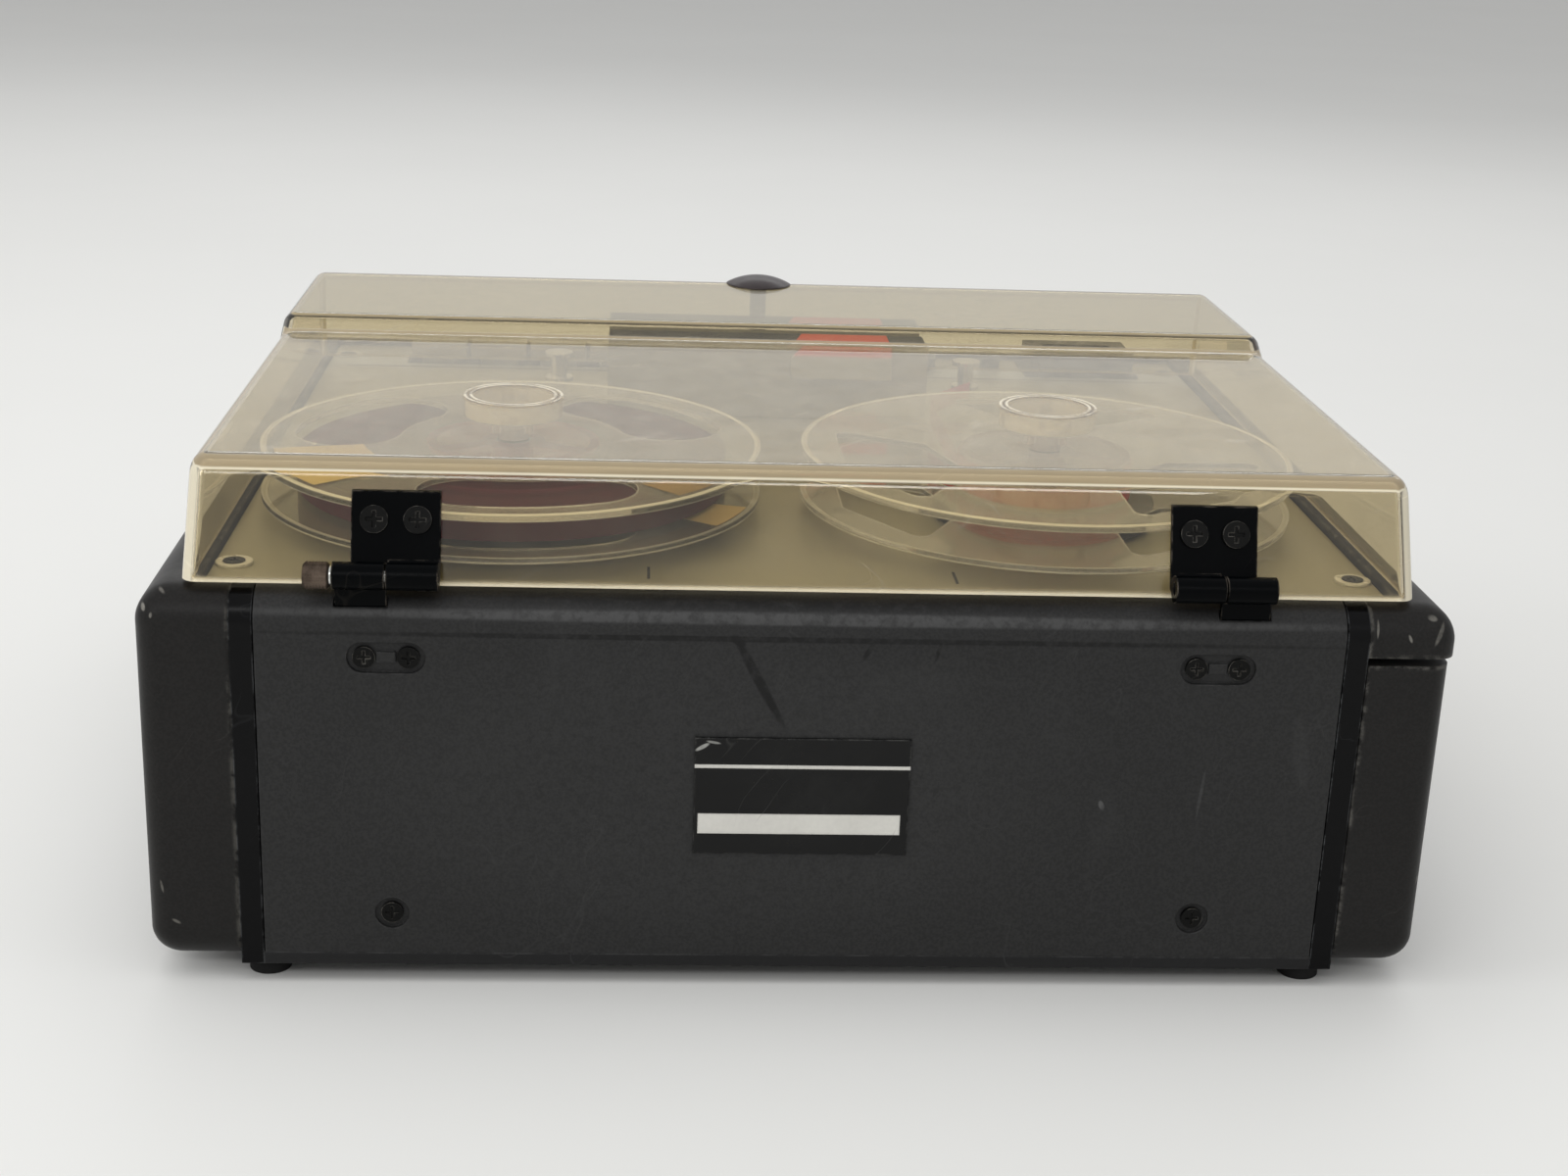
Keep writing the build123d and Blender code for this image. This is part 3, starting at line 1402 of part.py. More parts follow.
def handle_brackets():
    """Brackets welded to the front panel, with the pins that the handle swings on."""
    def bracket(side):
        inner = side * (handle_x + slide_gap)
        outer = inner + side * bracket_sheet
        cheek = block(inner, outer, handle_y() - bracket_height / 2, front_y,
                      handle_pivot_level - bracket_height / 2, handle_pivot_level + bracket_height / 2)
        pin = rod_x(inner, inner - side * (handle_arm_sheet + 2 * slide_gap), handle_y(),
                    handle_pivot_level, handle_pin_radius)
        return cheek + pin
    return both_sides(bracket)


def handle_bail():
    """Folding bail of two arms and a cross bar."""
    y = handle_y()
    low = handle_pivot_level - handle_arm_length
    bar = rod_x(-handle_x + 0.5, handle_x - 0.5, y, low, handle_bar_radius)
    for side in (1, -1):
        arm = SlotOverall(handle_arm_length + handle_arm_width, handle_arm_width, rotation=90)
        plate = extrude(Plane.YZ * arm, amount=handle_arm_sheet)
        x0 = side * handle_x if side < 0 else handle_x - handle_arm_sheet
        bar += Pos(x0, y, handle_pivot_level - handle_arm_length / 2) * plate
        bar -= rod_x(side * (handle_x - handle_arm_sheet - 1), side * (handle_x + 1), y,
                     handle_pivot_level, handle_pin_radius + running_gap)
    return bar


def handle_grip():
    """Moulded sleeve on the handle's cross bar."""
    low = handle_pivot_level - handle_arm_length
    grip = rod_x(-handle_grip_half, handle_grip_half, handle_y(), low, handle_grip_radius)
    grip = fillet(grip.edges(), 2)
    return grip - rod_x(-handle_grip_half - 1, handle_grip_half + 1, handle_y(), low,
                        handle_bar_radius)


# ---------------------------------------------------------------- battery drawer
def drawer_cover():
    """Lower part of the left end, the front of the battery drawer, with ribs for its tray."""
    shell = cap_shell(drawer_set_in, case_bottom, drawer_seam_bottom)
    shell -= block(0, cap_inner_x + slide_gap, back_y + 1, front_y - 1, 0, case_top)
    cover = mirror(shell, Plane.YZ)
    middle = (back_y + front_y) / 2
    x0 = -half_width + drawer_set_in + cap_wall
    bottom = base_top + slide_gap + tray_wall
    for side in (1, -1):
        y = middle + side * tray_rib_offset
        cover += block(x0 - cap_wall / 2, x0 + tray_set_in, y - tray_rib_width / 2,
                       y + tray_rib_width / 2, bottom, bottom + tray_wall_rise)
    return cover


def tray_place():
    """X and Y limits of the battery tray's outside."""
    length = cells_per_row * (cell_length + cell_nub_length) + 2 * contact_sheet + cell_gap
    middle = (back_y + front_y) / 2
    half = length / 2 + tray_wall
    return tray_outer_x, tray_outer_x + tray_width, middle - half, middle + half


def battery_tray():
    """Open tray fixed to the drawer cover, with a wall between its rows of cells."""
    x0, x1, y0, y1 = tray_place()
    bottom = base_top + slide_gap
    tray = block(x0, x1, y0, y1, bottom, bottom + tray_wall + tray_wall_rise)
    row = (x1 - x0 - (cell_rows + 1) * tray_wall) / cell_rows
    for index in range(cell_rows):
        left = x0 + tray_wall + index * (row + tray_wall)
        tray -= block(left, left + row, y0 + tray_wall, y1 - tray_wall, bottom + tray_wall,
                      bottom + tray_wall + tray_wall_rise + 1)
    return tray


def battery_contacts():
    """Sheet contacts at the ends of each row of cells."""
    x0, x1, y0, y1 = tray_place()
    row = (x1 - x0 - (cell_rows + 1) * tray_wall) / cell_rows
    bottom = base_top + slide_gap + tray_wall
    solids = []
    for index in range(cell_rows):
        left = x0 + tray_wall + index * (row + tray_wall) + cell_gap
        right = left + row - 2 * cell_gap
        for end, inward in ((y0 + tray_wall, 1), (y1 - tray_wall, -1)):
            solids.append(block(left, right, end, end + inward * contact_sheet, bottom,
                                bottom + tray_wall_rise))
    return solids


def battery_cells():
    """Round cells lying end to end in the tray."""
    x0, x1, y0, y1 = tray_place()
    row = (x1 - x0 - (cell_rows + 1) * tray_wall) / cell_rows
    z = base_top + slide_gap + tray_wall + cell_radius
    pitch = cell_length + cell_nub_length
    first = y0 + tray_wall + contact_sheet + cell_gap / 2
    solids = []
    for column in range(cell_rows):
        x = x0 + tray_wall + column * (row + tray_wall) + row / 2
        for index in range(cells_per_row):
            start = first + index * pitch
            cell = rod_y(x, start, start + cell_length, z, cell_radius)
            cell += rod_y(x, start + cell_length, start + pitch, z, cell_nub_radius)
            solids.append(cell)
    return solids


# ---------------------------------------------------------------- write the parts
def all_nodes():
    """Every sub-part by name."""
    nodes = {
        "base_tray": base_tray(),
        "rear_panel": rear_panel(),
        "front_panel": front_panel(),
        "side_frames": side_frames(),
        "end_cap_right": end_cap_right(),
        "end_cap_left": end_cap_left(),
        "deck_plate": deck_plate(),
        "chassis_plate": chassis_plate(),
        "label_plate": label_plate(),
        "case_screws": case_screws(),
        "deck_eyelets": deck_eyelets(),
        "case_hinge_leaves": case_hinge_leaves() + [fixed_hinge_pin()],
        "feet": feet(),
        "motor": motor(),
        "drive_belt": drive_belt(),
        "speaker": speaker(),
        "circuit_board": circuit_board(),
        "heads": heads() + tape_guides(),
        "head_cover": head_cover(),
        "cover_accent": cover_accent(),
        "catch_bracket": catch_bracket(),
        "meter_case": meter_case(),
        "meter_window": meter_window(),
        "counter_case": counter_case(),
        "sockets": sockets(),
        "key_rail": key_rail(),
        "leader_tail": leader_tail(),
        "lid_shell": lid_shell(),
        "lid_hinge_leaves": lid_hinge_leaves(),
        "lid_screws": lid_screws(),
        "lid_catch": lid_catch(),
        "hinge_pin": hinge_pin(),
        "drawer_cover": drawer_cover(),
        "battery_tray": [battery_tray()] + battery_contacts(),
        "battery_cells": battery_cells(),
        "supply_table": reel_table(supply_x),
        "supply_flanges": supply_flanges(),
        "supply_hub": reel_hub(supply_x),
        "leader_wrap": leader_wrap(),
        "takeup_table": reel_table(takeup_x),
        "takeup_flanges": takeup_flanges(),
        "takeup_hub": reel_hub(takeup_x),
        "tape_pack": tape_pack(),
        "flywheel": flywheel(),
        "motor_pulley": motor_pulley(),
        "pinch_arm": pinch_arm(),
        "pinch_roller": pinch_roller(),
        "counter_drums": counter_drums(),
        "counter_reset": counter_reset(),
        "speed_selector": speed_selector(),
        "record_level_knob": level_knob(record_knob_x),
        "volume_knob": level_knob(volume_knob_x),
        "meter_needle": meter_needle(),
        "handle_bail": handle_bail(),
        "handle_grip": handle_grip(),
    }
    for index, name in enumerate(key_names):
        nodes["key_" + name] = key(index)
    return nodes


def write_parts():
    """Write one STEP file for each sub-part."""
    os.makedirs("parts", exist_ok=True)
    for name, made in all_nodes().items():
        shape = Compound(children=made) if isinstance(made, list) else made
        export_step(shape, "parts/" + name + ".step")


write_parts()
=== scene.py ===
"""Looks of a portable open-reel tape recorder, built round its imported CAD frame."""

import logging
import math
from collections.abc import Callable, Sequence
from dataclasses import dataclass, replace
from enum import Enum
from typing import Any, ClassVar

import bmesh
import bpy
from mathutils import Matrix, Vector


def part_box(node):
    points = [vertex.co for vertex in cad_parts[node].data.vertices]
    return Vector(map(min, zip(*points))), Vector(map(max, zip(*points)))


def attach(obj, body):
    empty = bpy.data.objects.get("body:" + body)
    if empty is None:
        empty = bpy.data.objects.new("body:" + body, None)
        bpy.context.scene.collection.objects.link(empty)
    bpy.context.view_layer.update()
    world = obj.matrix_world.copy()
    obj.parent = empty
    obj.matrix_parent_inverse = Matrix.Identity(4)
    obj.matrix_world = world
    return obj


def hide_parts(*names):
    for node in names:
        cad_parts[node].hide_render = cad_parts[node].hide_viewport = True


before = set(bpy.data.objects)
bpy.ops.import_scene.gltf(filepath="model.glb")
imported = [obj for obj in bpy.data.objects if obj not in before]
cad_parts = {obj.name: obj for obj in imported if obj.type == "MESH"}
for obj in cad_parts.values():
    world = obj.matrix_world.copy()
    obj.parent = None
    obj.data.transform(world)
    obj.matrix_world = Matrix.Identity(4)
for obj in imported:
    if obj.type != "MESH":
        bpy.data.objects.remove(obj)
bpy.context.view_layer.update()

Colour = tuple[float, float, float]
Socket = bpy.types.NodeSocket
MM = 0.001
SAME_PLACE = 1e-7
log = logging.getLogger("recorder")


class Along(Enum):
    """Axis that a turned piece or a brushed grain follows."""

    X = (1.0, 0.0, 0.0)
    Y = (0.0, 1.0, 0.0)
    Z = (0.0, 0.0, 1.0)


def shade(red: int, green: int, blue: int) -> Colour:
    """Linear colour of three display values from 0 to 255."""

    def linear(value: int) -> float:
        """One channel, from display to linear."""
        share = value / 255
        return share / 12.92 if share <= 0.04045 else ((share + 0.055) / 1.055) ** 2.4

    return (linear(red), linear(green), linear(blue))


# ------------------------------------------------------------------ finishes
class Recipe:
    """Puts one node material together round a Principled shader."""

    def __init__(self, name: str) -> None:
        """Start an empty material.

        Args:
            name: name of the material.
        """
        self.material = bpy.data.materials.new(name)
        self.material.use_nodes = True
        self.tree = self.material.node_tree
        self.tree.nodes.clear()
        self.output = self.add("ShaderNodeOutputMaterial")
        self.shader = self.add("ShaderNodeBsdfPrincipled")
        self.place = self.add("ShaderNodeTexCoord").outputs["Object"]
        self.join(self.shader.outputs[0], self.output.inputs["Surface"])

    def add(self, kind: str, inputs: dict[Any, Any] | None = None, **settings: Any) -> bpy.types.Node:
        """Add a node.

        Args:
            kind: Blender's name of the node type.
            inputs: values or sockets for its inputs, by name or number.
            **settings: properties of the node itself.

        Returns:
            The new node.
        """
        node = self.tree.nodes.new(kind)
        for key, value in settings.items():
            setattr(node, key, value)
        for key, value in (inputs or {}).items():
            self.feed(node.inputs[key], value)
        return node

    def join(self, start: Socket, end: Socket) -> None:
        """Link two sockets."""
        self.tree.links.new(start, end)

    def feed(self, socket: Socket, value: Any) -> None:
        """Give an input a socket's value or a plain one.

        Args:
            socket: the input.
            value: a socket, number, vector or colour.
        """
        if isinstance(value, Socket):
            self.join(value, socket)
        elif isinstance(value, tuple) and len(value) == 3 and socket.type == "RGBA":
            socket.default_value = (*value, 1.0)
        else:
            socket.default_value = value

    def set(self, **values: Any) -> None:
        """Set inputs of the Principled shader, named with _ for each space."""
        for key, value in values.items():
            self.feed(self.shader.inputs[key.replace("_", " ")], value)

    def spread(self, size: Sequence[float], turn: Sequence[float] = (0, 0, 0),
               centre: Sequence[float] = (0, 0, 0)) -> Socket:
        """Object coordinates seen from a box of their own.

        Args:
            size: metres that one unit covers along each axis.
            turn: turn of the box, in radians.
            centre: middle of the box, in metres.

        Returns:
            The coordinates in that box.
        """
        inputs = {"Vector": self.place, "Location": centre, "Rotation": turn, "Scale": size}
        return self.add("ShaderNodeMapping", inputs, vector_type="TEXTURE").outputs[0]

    def noise(self, scale: float, detail: float = 4.0, rough: float = 0.55,
              vector: Socket | None = None, bend: float = 0.0) -> Socket:
        """Noise from 0 to 1 round 0.5.

        Args:
            scale: features in a metre, or in a unit of vector.
            detail: octaves.
            rough: weight of the finer octaves.
            vector: coordinates other than Object.
            bend: how far it swirls.

        Returns:
            The noise value.
        """
        inputs = {"Vector": vector or self.place, "Scale": scale, "Detail": detail,
                  "Roughness": rough, "Distortion": bend}
        return self.add("ShaderNodeTexNoise", inputs).outputs[0]

    def band(self, value: Socket, low: float, high: float, first: float = 0.0,
             last: float = 1.0) -> Socket:
        """Value from low to high, stretched to first and last, smoothly and clamped."""
        inputs = {"Value": value, "From Min": low, "From Max": high, "To Min": first, "To Max": last}
        node = self.add("ShaderNodeMapRange", inputs, interpolation_type="SMOOTHSTEP")
        return node.outputs[0]

    def calc(self, kind: str, first: Any, second: Any = 0.0) -> Socket:
        """Result of one sum, by Blender's name for it."""
        return self.add("ShaderNodeMath", {0: first, 1: second}, operation=kind).outputs[0]

    def times(self, first: Any, second: Any) -> Socket:
        """Product of two values."""
        return self.calc("MULTIPLY", first, second)

    def plus(self, first: Any, second: Any) -> Socket:
        """Sum of two values."""
        return self.calc("ADD", first, second)

    def less(self, first: Any, second: Any) -> Socket:
        """What is left of the first value without the second."""
        return self.calc("SUBTRACT", first, second)

    def most(self, first: Any, second: Any) -> Socket:
        """Larger of two values."""
        return self.calc("MAXIMUM", first, second)

    def size(self, value: Any) -> Socket:
        """A value without its sign."""
        return self.calc("ABSOLUTE", value)

    def mix(self, share: Any, first: Any, second: Any) -> Socket:
        """Blend of two colours."""
        inputs = {0: share, 6: first, 7: second}
        return self.add("ShaderNodeMix", inputs, data_type="RGBA").outputs[2]

    def rim(self, radius: float) -> tuple[Socket, Socket]:
        """Mask of the edges, for wear or for a painted edge colour, and the rounded normal there.

        Args:
            radius: how far the wear reaches, in metres.

        Returns:
            The mask and the normal.
        """
        soft = self.add("ShaderNodeBevel", {"Radius": radius}, samples=4).outputs[0]
        flat = self.add("ShaderNodeNewGeometry").outputs["Normal"]
        inputs = {0: soft, 1: flat}
        along = self.add("ShaderNodeVectorMath", inputs, operation="DOT_PRODUCT").outputs["Value"]
        return self.band(along, 0.995, 0.80), soft

    def scratches(self, span: float, turn: Sequence[float], width: float) -> Socket:
        """Mask of long thin curved lines.

        Args:
            span: rough distance between lines, in metres.
            turn: direction of the lines, in radians.
            width: thinness of the lines, as a share of the noise.

        Returns:
            The mask.
        """
        stretched = self.spread((span * 30, span, span), turn)
        wave = self.noise(1.0, 2.0, 0.4, stretched)
        line = self.band(self.size(self.less(wave, 0.5)), width, 0.0)
        broken = self.band(self.noise(0.35 / span, 3.0), 0.52, 0.62)
        return self.times(line, broken)

    def part(self, axis: str) -> Socket:
        """One part of the Object coordinates, by the axis's letter."""
        return self.add("ShaderNodeSeparateXYZ", {0: self.place}).outputs[axis]

    def away(self, centre: tuple[float, float]) -> Socket:
        """Distance from an upright axis, in metres."""
        flat = self.add("ShaderNodeVectorMath", {0: self.place, 1: (1.0, 1.0, 0.0)}, operation="MULTIPLY")
        inputs = {0: flat.outputs[0], 1: (*centre, 0.0)}
        return self.add("ShaderNodeVectorMath", inputs, operation="DISTANCE").outputs["Value"]

    def spot(self, centre: Sequence[float], size: Sequence[float], turn: Sequence[float]) -> Socket:
        """Soft mask of one ellipsoid of Object space."""
        vector = self.spread(size, turn, centre)
        ball = self.add("ShaderNodeTexGradient", {"Vector": vector}, gradient_type="SPHERICAL")
        return ball.outputs["Fac"]

    def bump(self, height: Socket, depth: float, normal: Socket | None = None) -> Socket:
        """Normal bent by a height.

        Args:
            height: height from 0 to 1.
            depth: metres that 1 stands for.
            normal: normal to start from.

        Returns:
            The new normal.
        """
        inputs = {"Height": height, "Distance": depth, "Strength": 1.0}
        if normal is not None:
            inputs["Normal"] = normal
        return self.add("ShaderNodeBump", inputs).outputs[0]


@dataclass(frozen=True)
class Mark:
    """A smear, nick or painted band of shade or highlight in the plane of X and Z, in millimetres and
    degrees; reach is along Y.
    """

    x: float
    y: float
    z: float
    length: float
    width: float
    angle: float
    strength: float
    dark: bool = False
    reach: float = 4.0


@dataclass(frozen=True)
class CoatFinish:
    """Paint, lacquer or moulded plastic with grain, scuffs, worn edges and marks, some of which are painted
    shade or highlight.
    """

    name: str
    colour: Colour
    worn: Colour
    rough: float = 0.5
    grain: float = 1500.0
    depth: float = 0.00001
    mottling: float = 0.16
    speckle: float = 0.25
    edge: float = 0.0006
    edge_wear: float = 0.3
    scratch: float = 0.15
    metal: float = 0.0
    specular: float = 0.5
    lower_level: float = 0.0
    lower_blur: float = 0.5 * MM
    lower_colour: Colour = (0.0, 0.0, 0.0)
    marks: tuple[Mark, ...] = ()

    def make(self) -> bpy.types.Material:
        """Build the material."""
        recipe = Recipe(self.name)
        blotch = recipe.noise(28.0, 5.0, 0.6)
        fine = recipe.noise(self.grain, 3.0, 0.6)
        pits = recipe.noise(self.grain * 0.37, 2.0, 0.5)
        light = tuple(min(1.0, channel * 1.6 + 0.004) for channel in self.colour)
        colour = recipe.mix(recipe.band(blotch, 0.35, 0.75, 0.0, self.mottling), self.colour, light)
        dark = tuple(channel * 0.35 for channel in self.colour)
        colour = recipe.mix(recipe.band(fine, 0.38, 0.62, self.speckle, 0.0), colour, dark)
        dusty = recipe.band(recipe.noise(11.0, 6.0, 0.7, bend=0.6), 0.55, 0.8, 0.0, self.mottling * 0.5)
        colour = recipe.mix(dusty, colour, self.worn)
        if self.lower_level:
            fade = recipe.band(recipe.part("Z"), self.lower_level + self.lower_blur,
                               self.lower_level - self.lower_blur)
            colour = recipe.mix(fade, colour, self.lower_colour)
        mask, soft = recipe.rim(self.edge)
        chipped = recipe.band(recipe.noise(240.0, 4.0, 0.7), 0.42, 0.62)
        worn = recipe.times(recipe.times(mask, chipped), self.edge_wear)
        lines = recipe.scratches(0.012, (0.3, 0.9, 0.5), 0.006)
        crossing = recipe.scratches(0.02, (1.1, -0.5, 2.1), 0.004)
        scored = recipe.times(recipe.most(lines, crossing), self.scratch)
        colour = recipe.mix(recipe.most(worn, scored), colour, self.worn)
        for mark in self.marks:
            colour = self.marked(recipe, colour, mark)
        grainy = recipe.plus(recipe.times(fine, 0.6), recipe.times(pits, 0.7))
        rough = recipe.band(blotch, 0.25, 0.75, max(0.03, self.rough - 0.07), min(1.0, self.rough + 0.1))
        recipe.set(Base_Color=colour, Roughness=rough, Metallic=self.metal,
                   Specular_IOR_Level=self.specular, Normal=recipe.bump(grainy, self.depth, soft))
        return recipe.material

    def marked(self, recipe: Recipe, colour: Socket, mark: Mark) -> Socket:
        """Lay one smear, nick or painted band of shade or highlight over a colour.

        Args:
            recipe: the material being built.
            colour: the colour so far.
            mark: the smear, nick or painted band.

        Returns:
            The colour with the mark on it.
        """
        size = (mark.length * MM / 2, mark.reach * MM, mark.width * MM / 2)
        centre = (mark.x * MM, mark.y * MM, mark.z * MM)
        spot = recipe.spot(centre, size, (0.0, -math.radians(mark.angle), 0.0))
        ragged = recipe.band(recipe.noise(420.0, 3.0, 0.6), 0.3, 0.6, 0.35, 1.0)
        share = recipe.times(recipe.band(spot, 0.0, 0.45, 0.0, mark.strength), ragged)
        tone = tuple(channel * 0.25 for channel in self.colour) if mark.dark else self.worn
        return recipe.mix(share, colour, tone)


@dataclass(frozen=True)
class MetalFinish:
    """Bare or plated metal with a grain, tarnish and fine scratches."""

    name: str
    colour: Colour
    tarnish: Colour
    rough: float = 0.3
    grain: float = 900.0
    along: Along = Along.X
    tarnished: float = 0.3
    edge: float = 0.0004

    def make(self) -> bpy.types.Material:
        """Build the material."""
        recipe = Recipe(self.name)
        size = tuple(0.02 if part else 1.0 / self.grain for part in self.along.value)
        brushed = recipe.noise(1.0, 4.0, 0.6, recipe.spread(size))
        spots = recipe.band(recipe.noise(160.0, 6.0, 0.65), 0.48, 0.75, 0.0, self.tarnished)
        mask, soft = recipe.rim(self.edge)
        kept = recipe.less(1.0, recipe.times(mask, 0.7))
        spots = recipe.times(spots, kept)
        colour = recipe.mix(spots, self.colour, self.tarnish)
        colour = recipe.mix(recipe.band(brushed, 0.3, 0.7, 0.0, 0.22), colour, self.tarnish)
        rough = recipe.band(brushed, 0.25, 0.75, max(0.05, self.rough - 0.08), self.rough + 0.12)
        rough = recipe.plus(rough, recipe.times(spots, 0.4))
        recipe.set(Base_Color=colour, Metallic=1.0, Roughness=rough,
                   Normal=recipe.bump(brushed, 0.000006, soft))
        return recipe.material


@dataclass(frozen=True)
class ClearFinish:
    """Clear or frosted plastic with haze, dust and scratches, and edges coloured with a painted glow and
    painted highlights.
    """

    name: str
    tint: Colour
    rough: float = 0.0
    clear: float = 1.0
    dust: float = 0.05
    top_dust: float = 0.0
    scratch: float = 0.03
    refraction: float = 1.49
    edge: float = 0.0008
    # The next two colours are painted light at the edges: a painted glow, then a painted highlight.
    edge_tint: Colour = (0.9, 0.9, 0.88)
    edge_pale: Colour = (0.9, 0.9, 0.88)
    high_dust: float = 0.0
    flat_from: tuple[float, float] = (0.85, 0.97)
    high_level: float = 128.0 * MM
    high_blur: float = 1.0 * MM
    high_tint: Colour = (0.9, 0.9, 0.88)
    riser_low: tuple[float, float] = (0.1264, 0.1268)
    riser_high: tuple[float, float] = (0.1297, 0.1293)
    # Centres of rings whose lips take painted highlights; the halo fields give their size and fade.
    halos: tuple[tuple[float, float], ...] = ()
    halo_radius: float = 0.0115
    halo_width: float = 0.0011
    halo_wall: float = 0.7
    halo_fade: tuple[float, float] = (0.5, 0.2)
    # Share of the painted edge colour on the edges.
    edge_share: float = 0.6
    # How strongly the folds take the painted glow and highlight.
    fold: float = 0.0
    fold_low: tuple[float, float] = (0.5, 0.56)
    fold_high: tuple[float, float] = (0.99, 0.95)
    fold_corner: tuple[float, float] = (0.2, 0.36)
    # Normal heights below which the edges take the painted highlight instead of the painted glow.
    pale_below: tuple[float, float] = (0.64, 0.58)
    let_through: float = 0.8
    absorbed: Colour | None = None
    density: float = 0.0

    def make(self) -> bpy.types.Material:
        """Build the material."""
        recipe = Recipe(self.name)
        cloud = recipe.noise(16.0, 6.0, 0.65, bend=0.8)
        specks = recipe.band(recipe.noise(520.0, 3.0, 0.6), 0.62, 0.74)
        swirls = recipe.scratches(0.016, (0.2, 0.1, 0.7), 0.006)
        crossing = recipe.scratches(0.024, (0.0, 0.3, 2.3), 0.004)
        lines = recipe.times(recipe.most(swirls, crossing), self.scratch)
        facing = recipe.add("ShaderNodeSeparateXYZ", {0: recipe.add("ShaderNodeTexCoord").outputs["Normal"]})
        film = recipe.band(recipe.noise(130.0, 6.0, 0.7), 0.3, 0.7, self.top_dust * 0.4, self.top_dust)
        height = recipe.part("Z")
        high = recipe.band(height, self.high_level, self.high_level + self.high_blur, 0.0, self.high_dust)
        film = recipe.times(recipe.plus(film, high), recipe.band(facing.outputs["Z"], *self.flat_from))
        soiled = recipe.times(recipe.band(cloud, 0.4, 0.72), self.dust)
        soiled = recipe.plus(soiled, recipe.times(specks, self.dust * 0.6))
        soiled = recipe.plus(recipe.most(soiled, lines), film)
        # Painted edge colour: edges and folds take a painted glow, lower on each fold a painted highlight,
        # and ring lips painted highlights.
        mask = recipe.most(recipe.rim(self.edge)[0], self.folds(recipe, facing))
        painted_edges = recipe.times(mask, self.edge_share)
        edge_tint = recipe.mix(recipe.band(facing.outputs["Z"], *self.pale_below), self.edge_tint,
                               self.edge_pale)
        painted_edges, edge_tint = self.haloed(recipe, painted_edges, edge_tint)
        above = recipe.band(height, self.high_level, self.high_level + self.high_blur)
        tint = recipe.mix(above, self.tint, self.high_tint if self.high_dust else self.tint)
        through = recipe.less(recipe.less(self.clear, soiled), painted_edges)
        rough = recipe.plus(recipe.times(lines, 0.4), self.rough)
        recipe.set(Base_Color=recipe.mix(painted_edges, tint, edge_tint), Roughness=rough,
                   Transmission_Weight=recipe.most(through, 0.0), IOR=self.refraction)
        self.let_lamps_in(recipe)
        if self.absorbed is not None:
            soak = recipe.add("ShaderNodeVolumeAbsorption", {"Color": self.absorbed, "Density": self.density})
            recipe.join(soak.outputs[0], recipe.output.inputs["Volume"])
        return recipe.material

    def haloed(self, recipe: Recipe, share: Socket, tint: Socket) -> tuple[Socket, Socket]:
        """Paint highlights on the lips of moulded rings round Z.

        Args:
            recipe: the material being built.
            share: share of the painted edge colour so far.
            tint: the painted edge colour so far.

        Returns:
            The share and the colour with the painted ring highlights on them.
        """
        for centre in self.halos:
            off = recipe.size(recipe.less(recipe.away(centre), self.halo_radius))
            lip = recipe.size(recipe.less(off, self.halo_width * self.halo_wall))
            lip = recipe.band(lip, *(self.halo_width * share_of for share_of in self.halo_fade))
            patchy = recipe.band(recipe.noise(170.0, 3.0, 0.6), 0.35, 0.6, 0.35, 0.85)
            lip = recipe.times(lip, patchy)
            tint = recipe.mix(lip, tint, self.edge_pale)
            share = recipe.most(share, lip)
        return share, tint

    def folds(self, recipe: Recipe, facing: bpy.types.Node) -> Socket:
        """Mask of the rounded folds between walls and top, which take the painted glow and highlight.

        Args:
            recipe: the material being built.
            facing: node that splits the normal into its parts.

        Returns:
            The mask.
        """
        level = facing.outputs["Z"]
        rising = recipe.times(recipe.band(level, *self.fold_low), recipe.band(level, *self.fold_high))
        height = recipe.part("Z")
        riser = recipe.times(recipe.band(height, *self.riser_low), recipe.band(height, *self.riser_high))
        rising = recipe.times(rising, recipe.less(1.0, riser))
        corner = recipe.times(facing.outputs["X"], facing.outputs["Y"])
        upright = recipe.band(recipe.size(corner), *self.fold_corner)
        inner = recipe.add("ShaderNodeNewGeometry").outputs["Backfacing"]
        met = recipe.times(recipe.less(1.0, inner), self.fold)
        return recipe.times(recipe.most(rising, upright), met)

    def let_lamps_in(self, recipe: Recipe) -> None:
        """Let a share of the lamps' light through to what the plastic covers."""
        path = recipe.add("ShaderNodeLightPath").outputs["Is Shadow Ray"]
        share = recipe.times(path, self.let_through)
        open_way = recipe.add("ShaderNodeBsdfTransparent", {"Color": self.tint})
        inputs = {0: share, 1: recipe.shader.outputs[0], 2: open_way.outputs[0]}
        recipe.join(recipe.add("ShaderNodeMixShader", inputs).outputs[0], recipe.output.inputs["Surface"])


@dataclass(frozen=True)
class WoundFinish:
    """Tape wound edge on round a centre, with its steps and colour bands."""

    name: str
    colour: Colour
    pale: Colour
    centre: tuple[float, float]
    turns: float = 2600.0
    rough: float = 0.5
    specular: float = 0.08

    def make(self) -> bpy.types.Material:
        """Build the material."""
        recipe = Recipe(self.name)
        ring = recipe.add("ShaderNodeCombineXYZ", {0: recipe.away(self.centre)}).outputs[0]
        fine = recipe.noise(self.turns, 2.0, 0.7, ring)
        broad = recipe.noise(170.0, 4.0, 0.7, ring)
        colour = recipe.mix(recipe.band(broad, 0.35, 0.7), self.colour, self.pale)
        dusty = recipe.band(recipe.noise(70.0, 5.0, 0.65), 0.55, 0.8, 0.0, 0.15)
        colour = recipe.mix(dusty, colour, tuple(min(1.0, channel * 2.2) for channel in self.pale))
        height = recipe.plus(recipe.times(fine, 0.35), broad)
        recipe.set(Base_Color=colour, Roughness=self.rough, Specular_IOR_Level=self.specular,
                   Normal=recipe.bump(height, 0.00012))
        return recipe.material


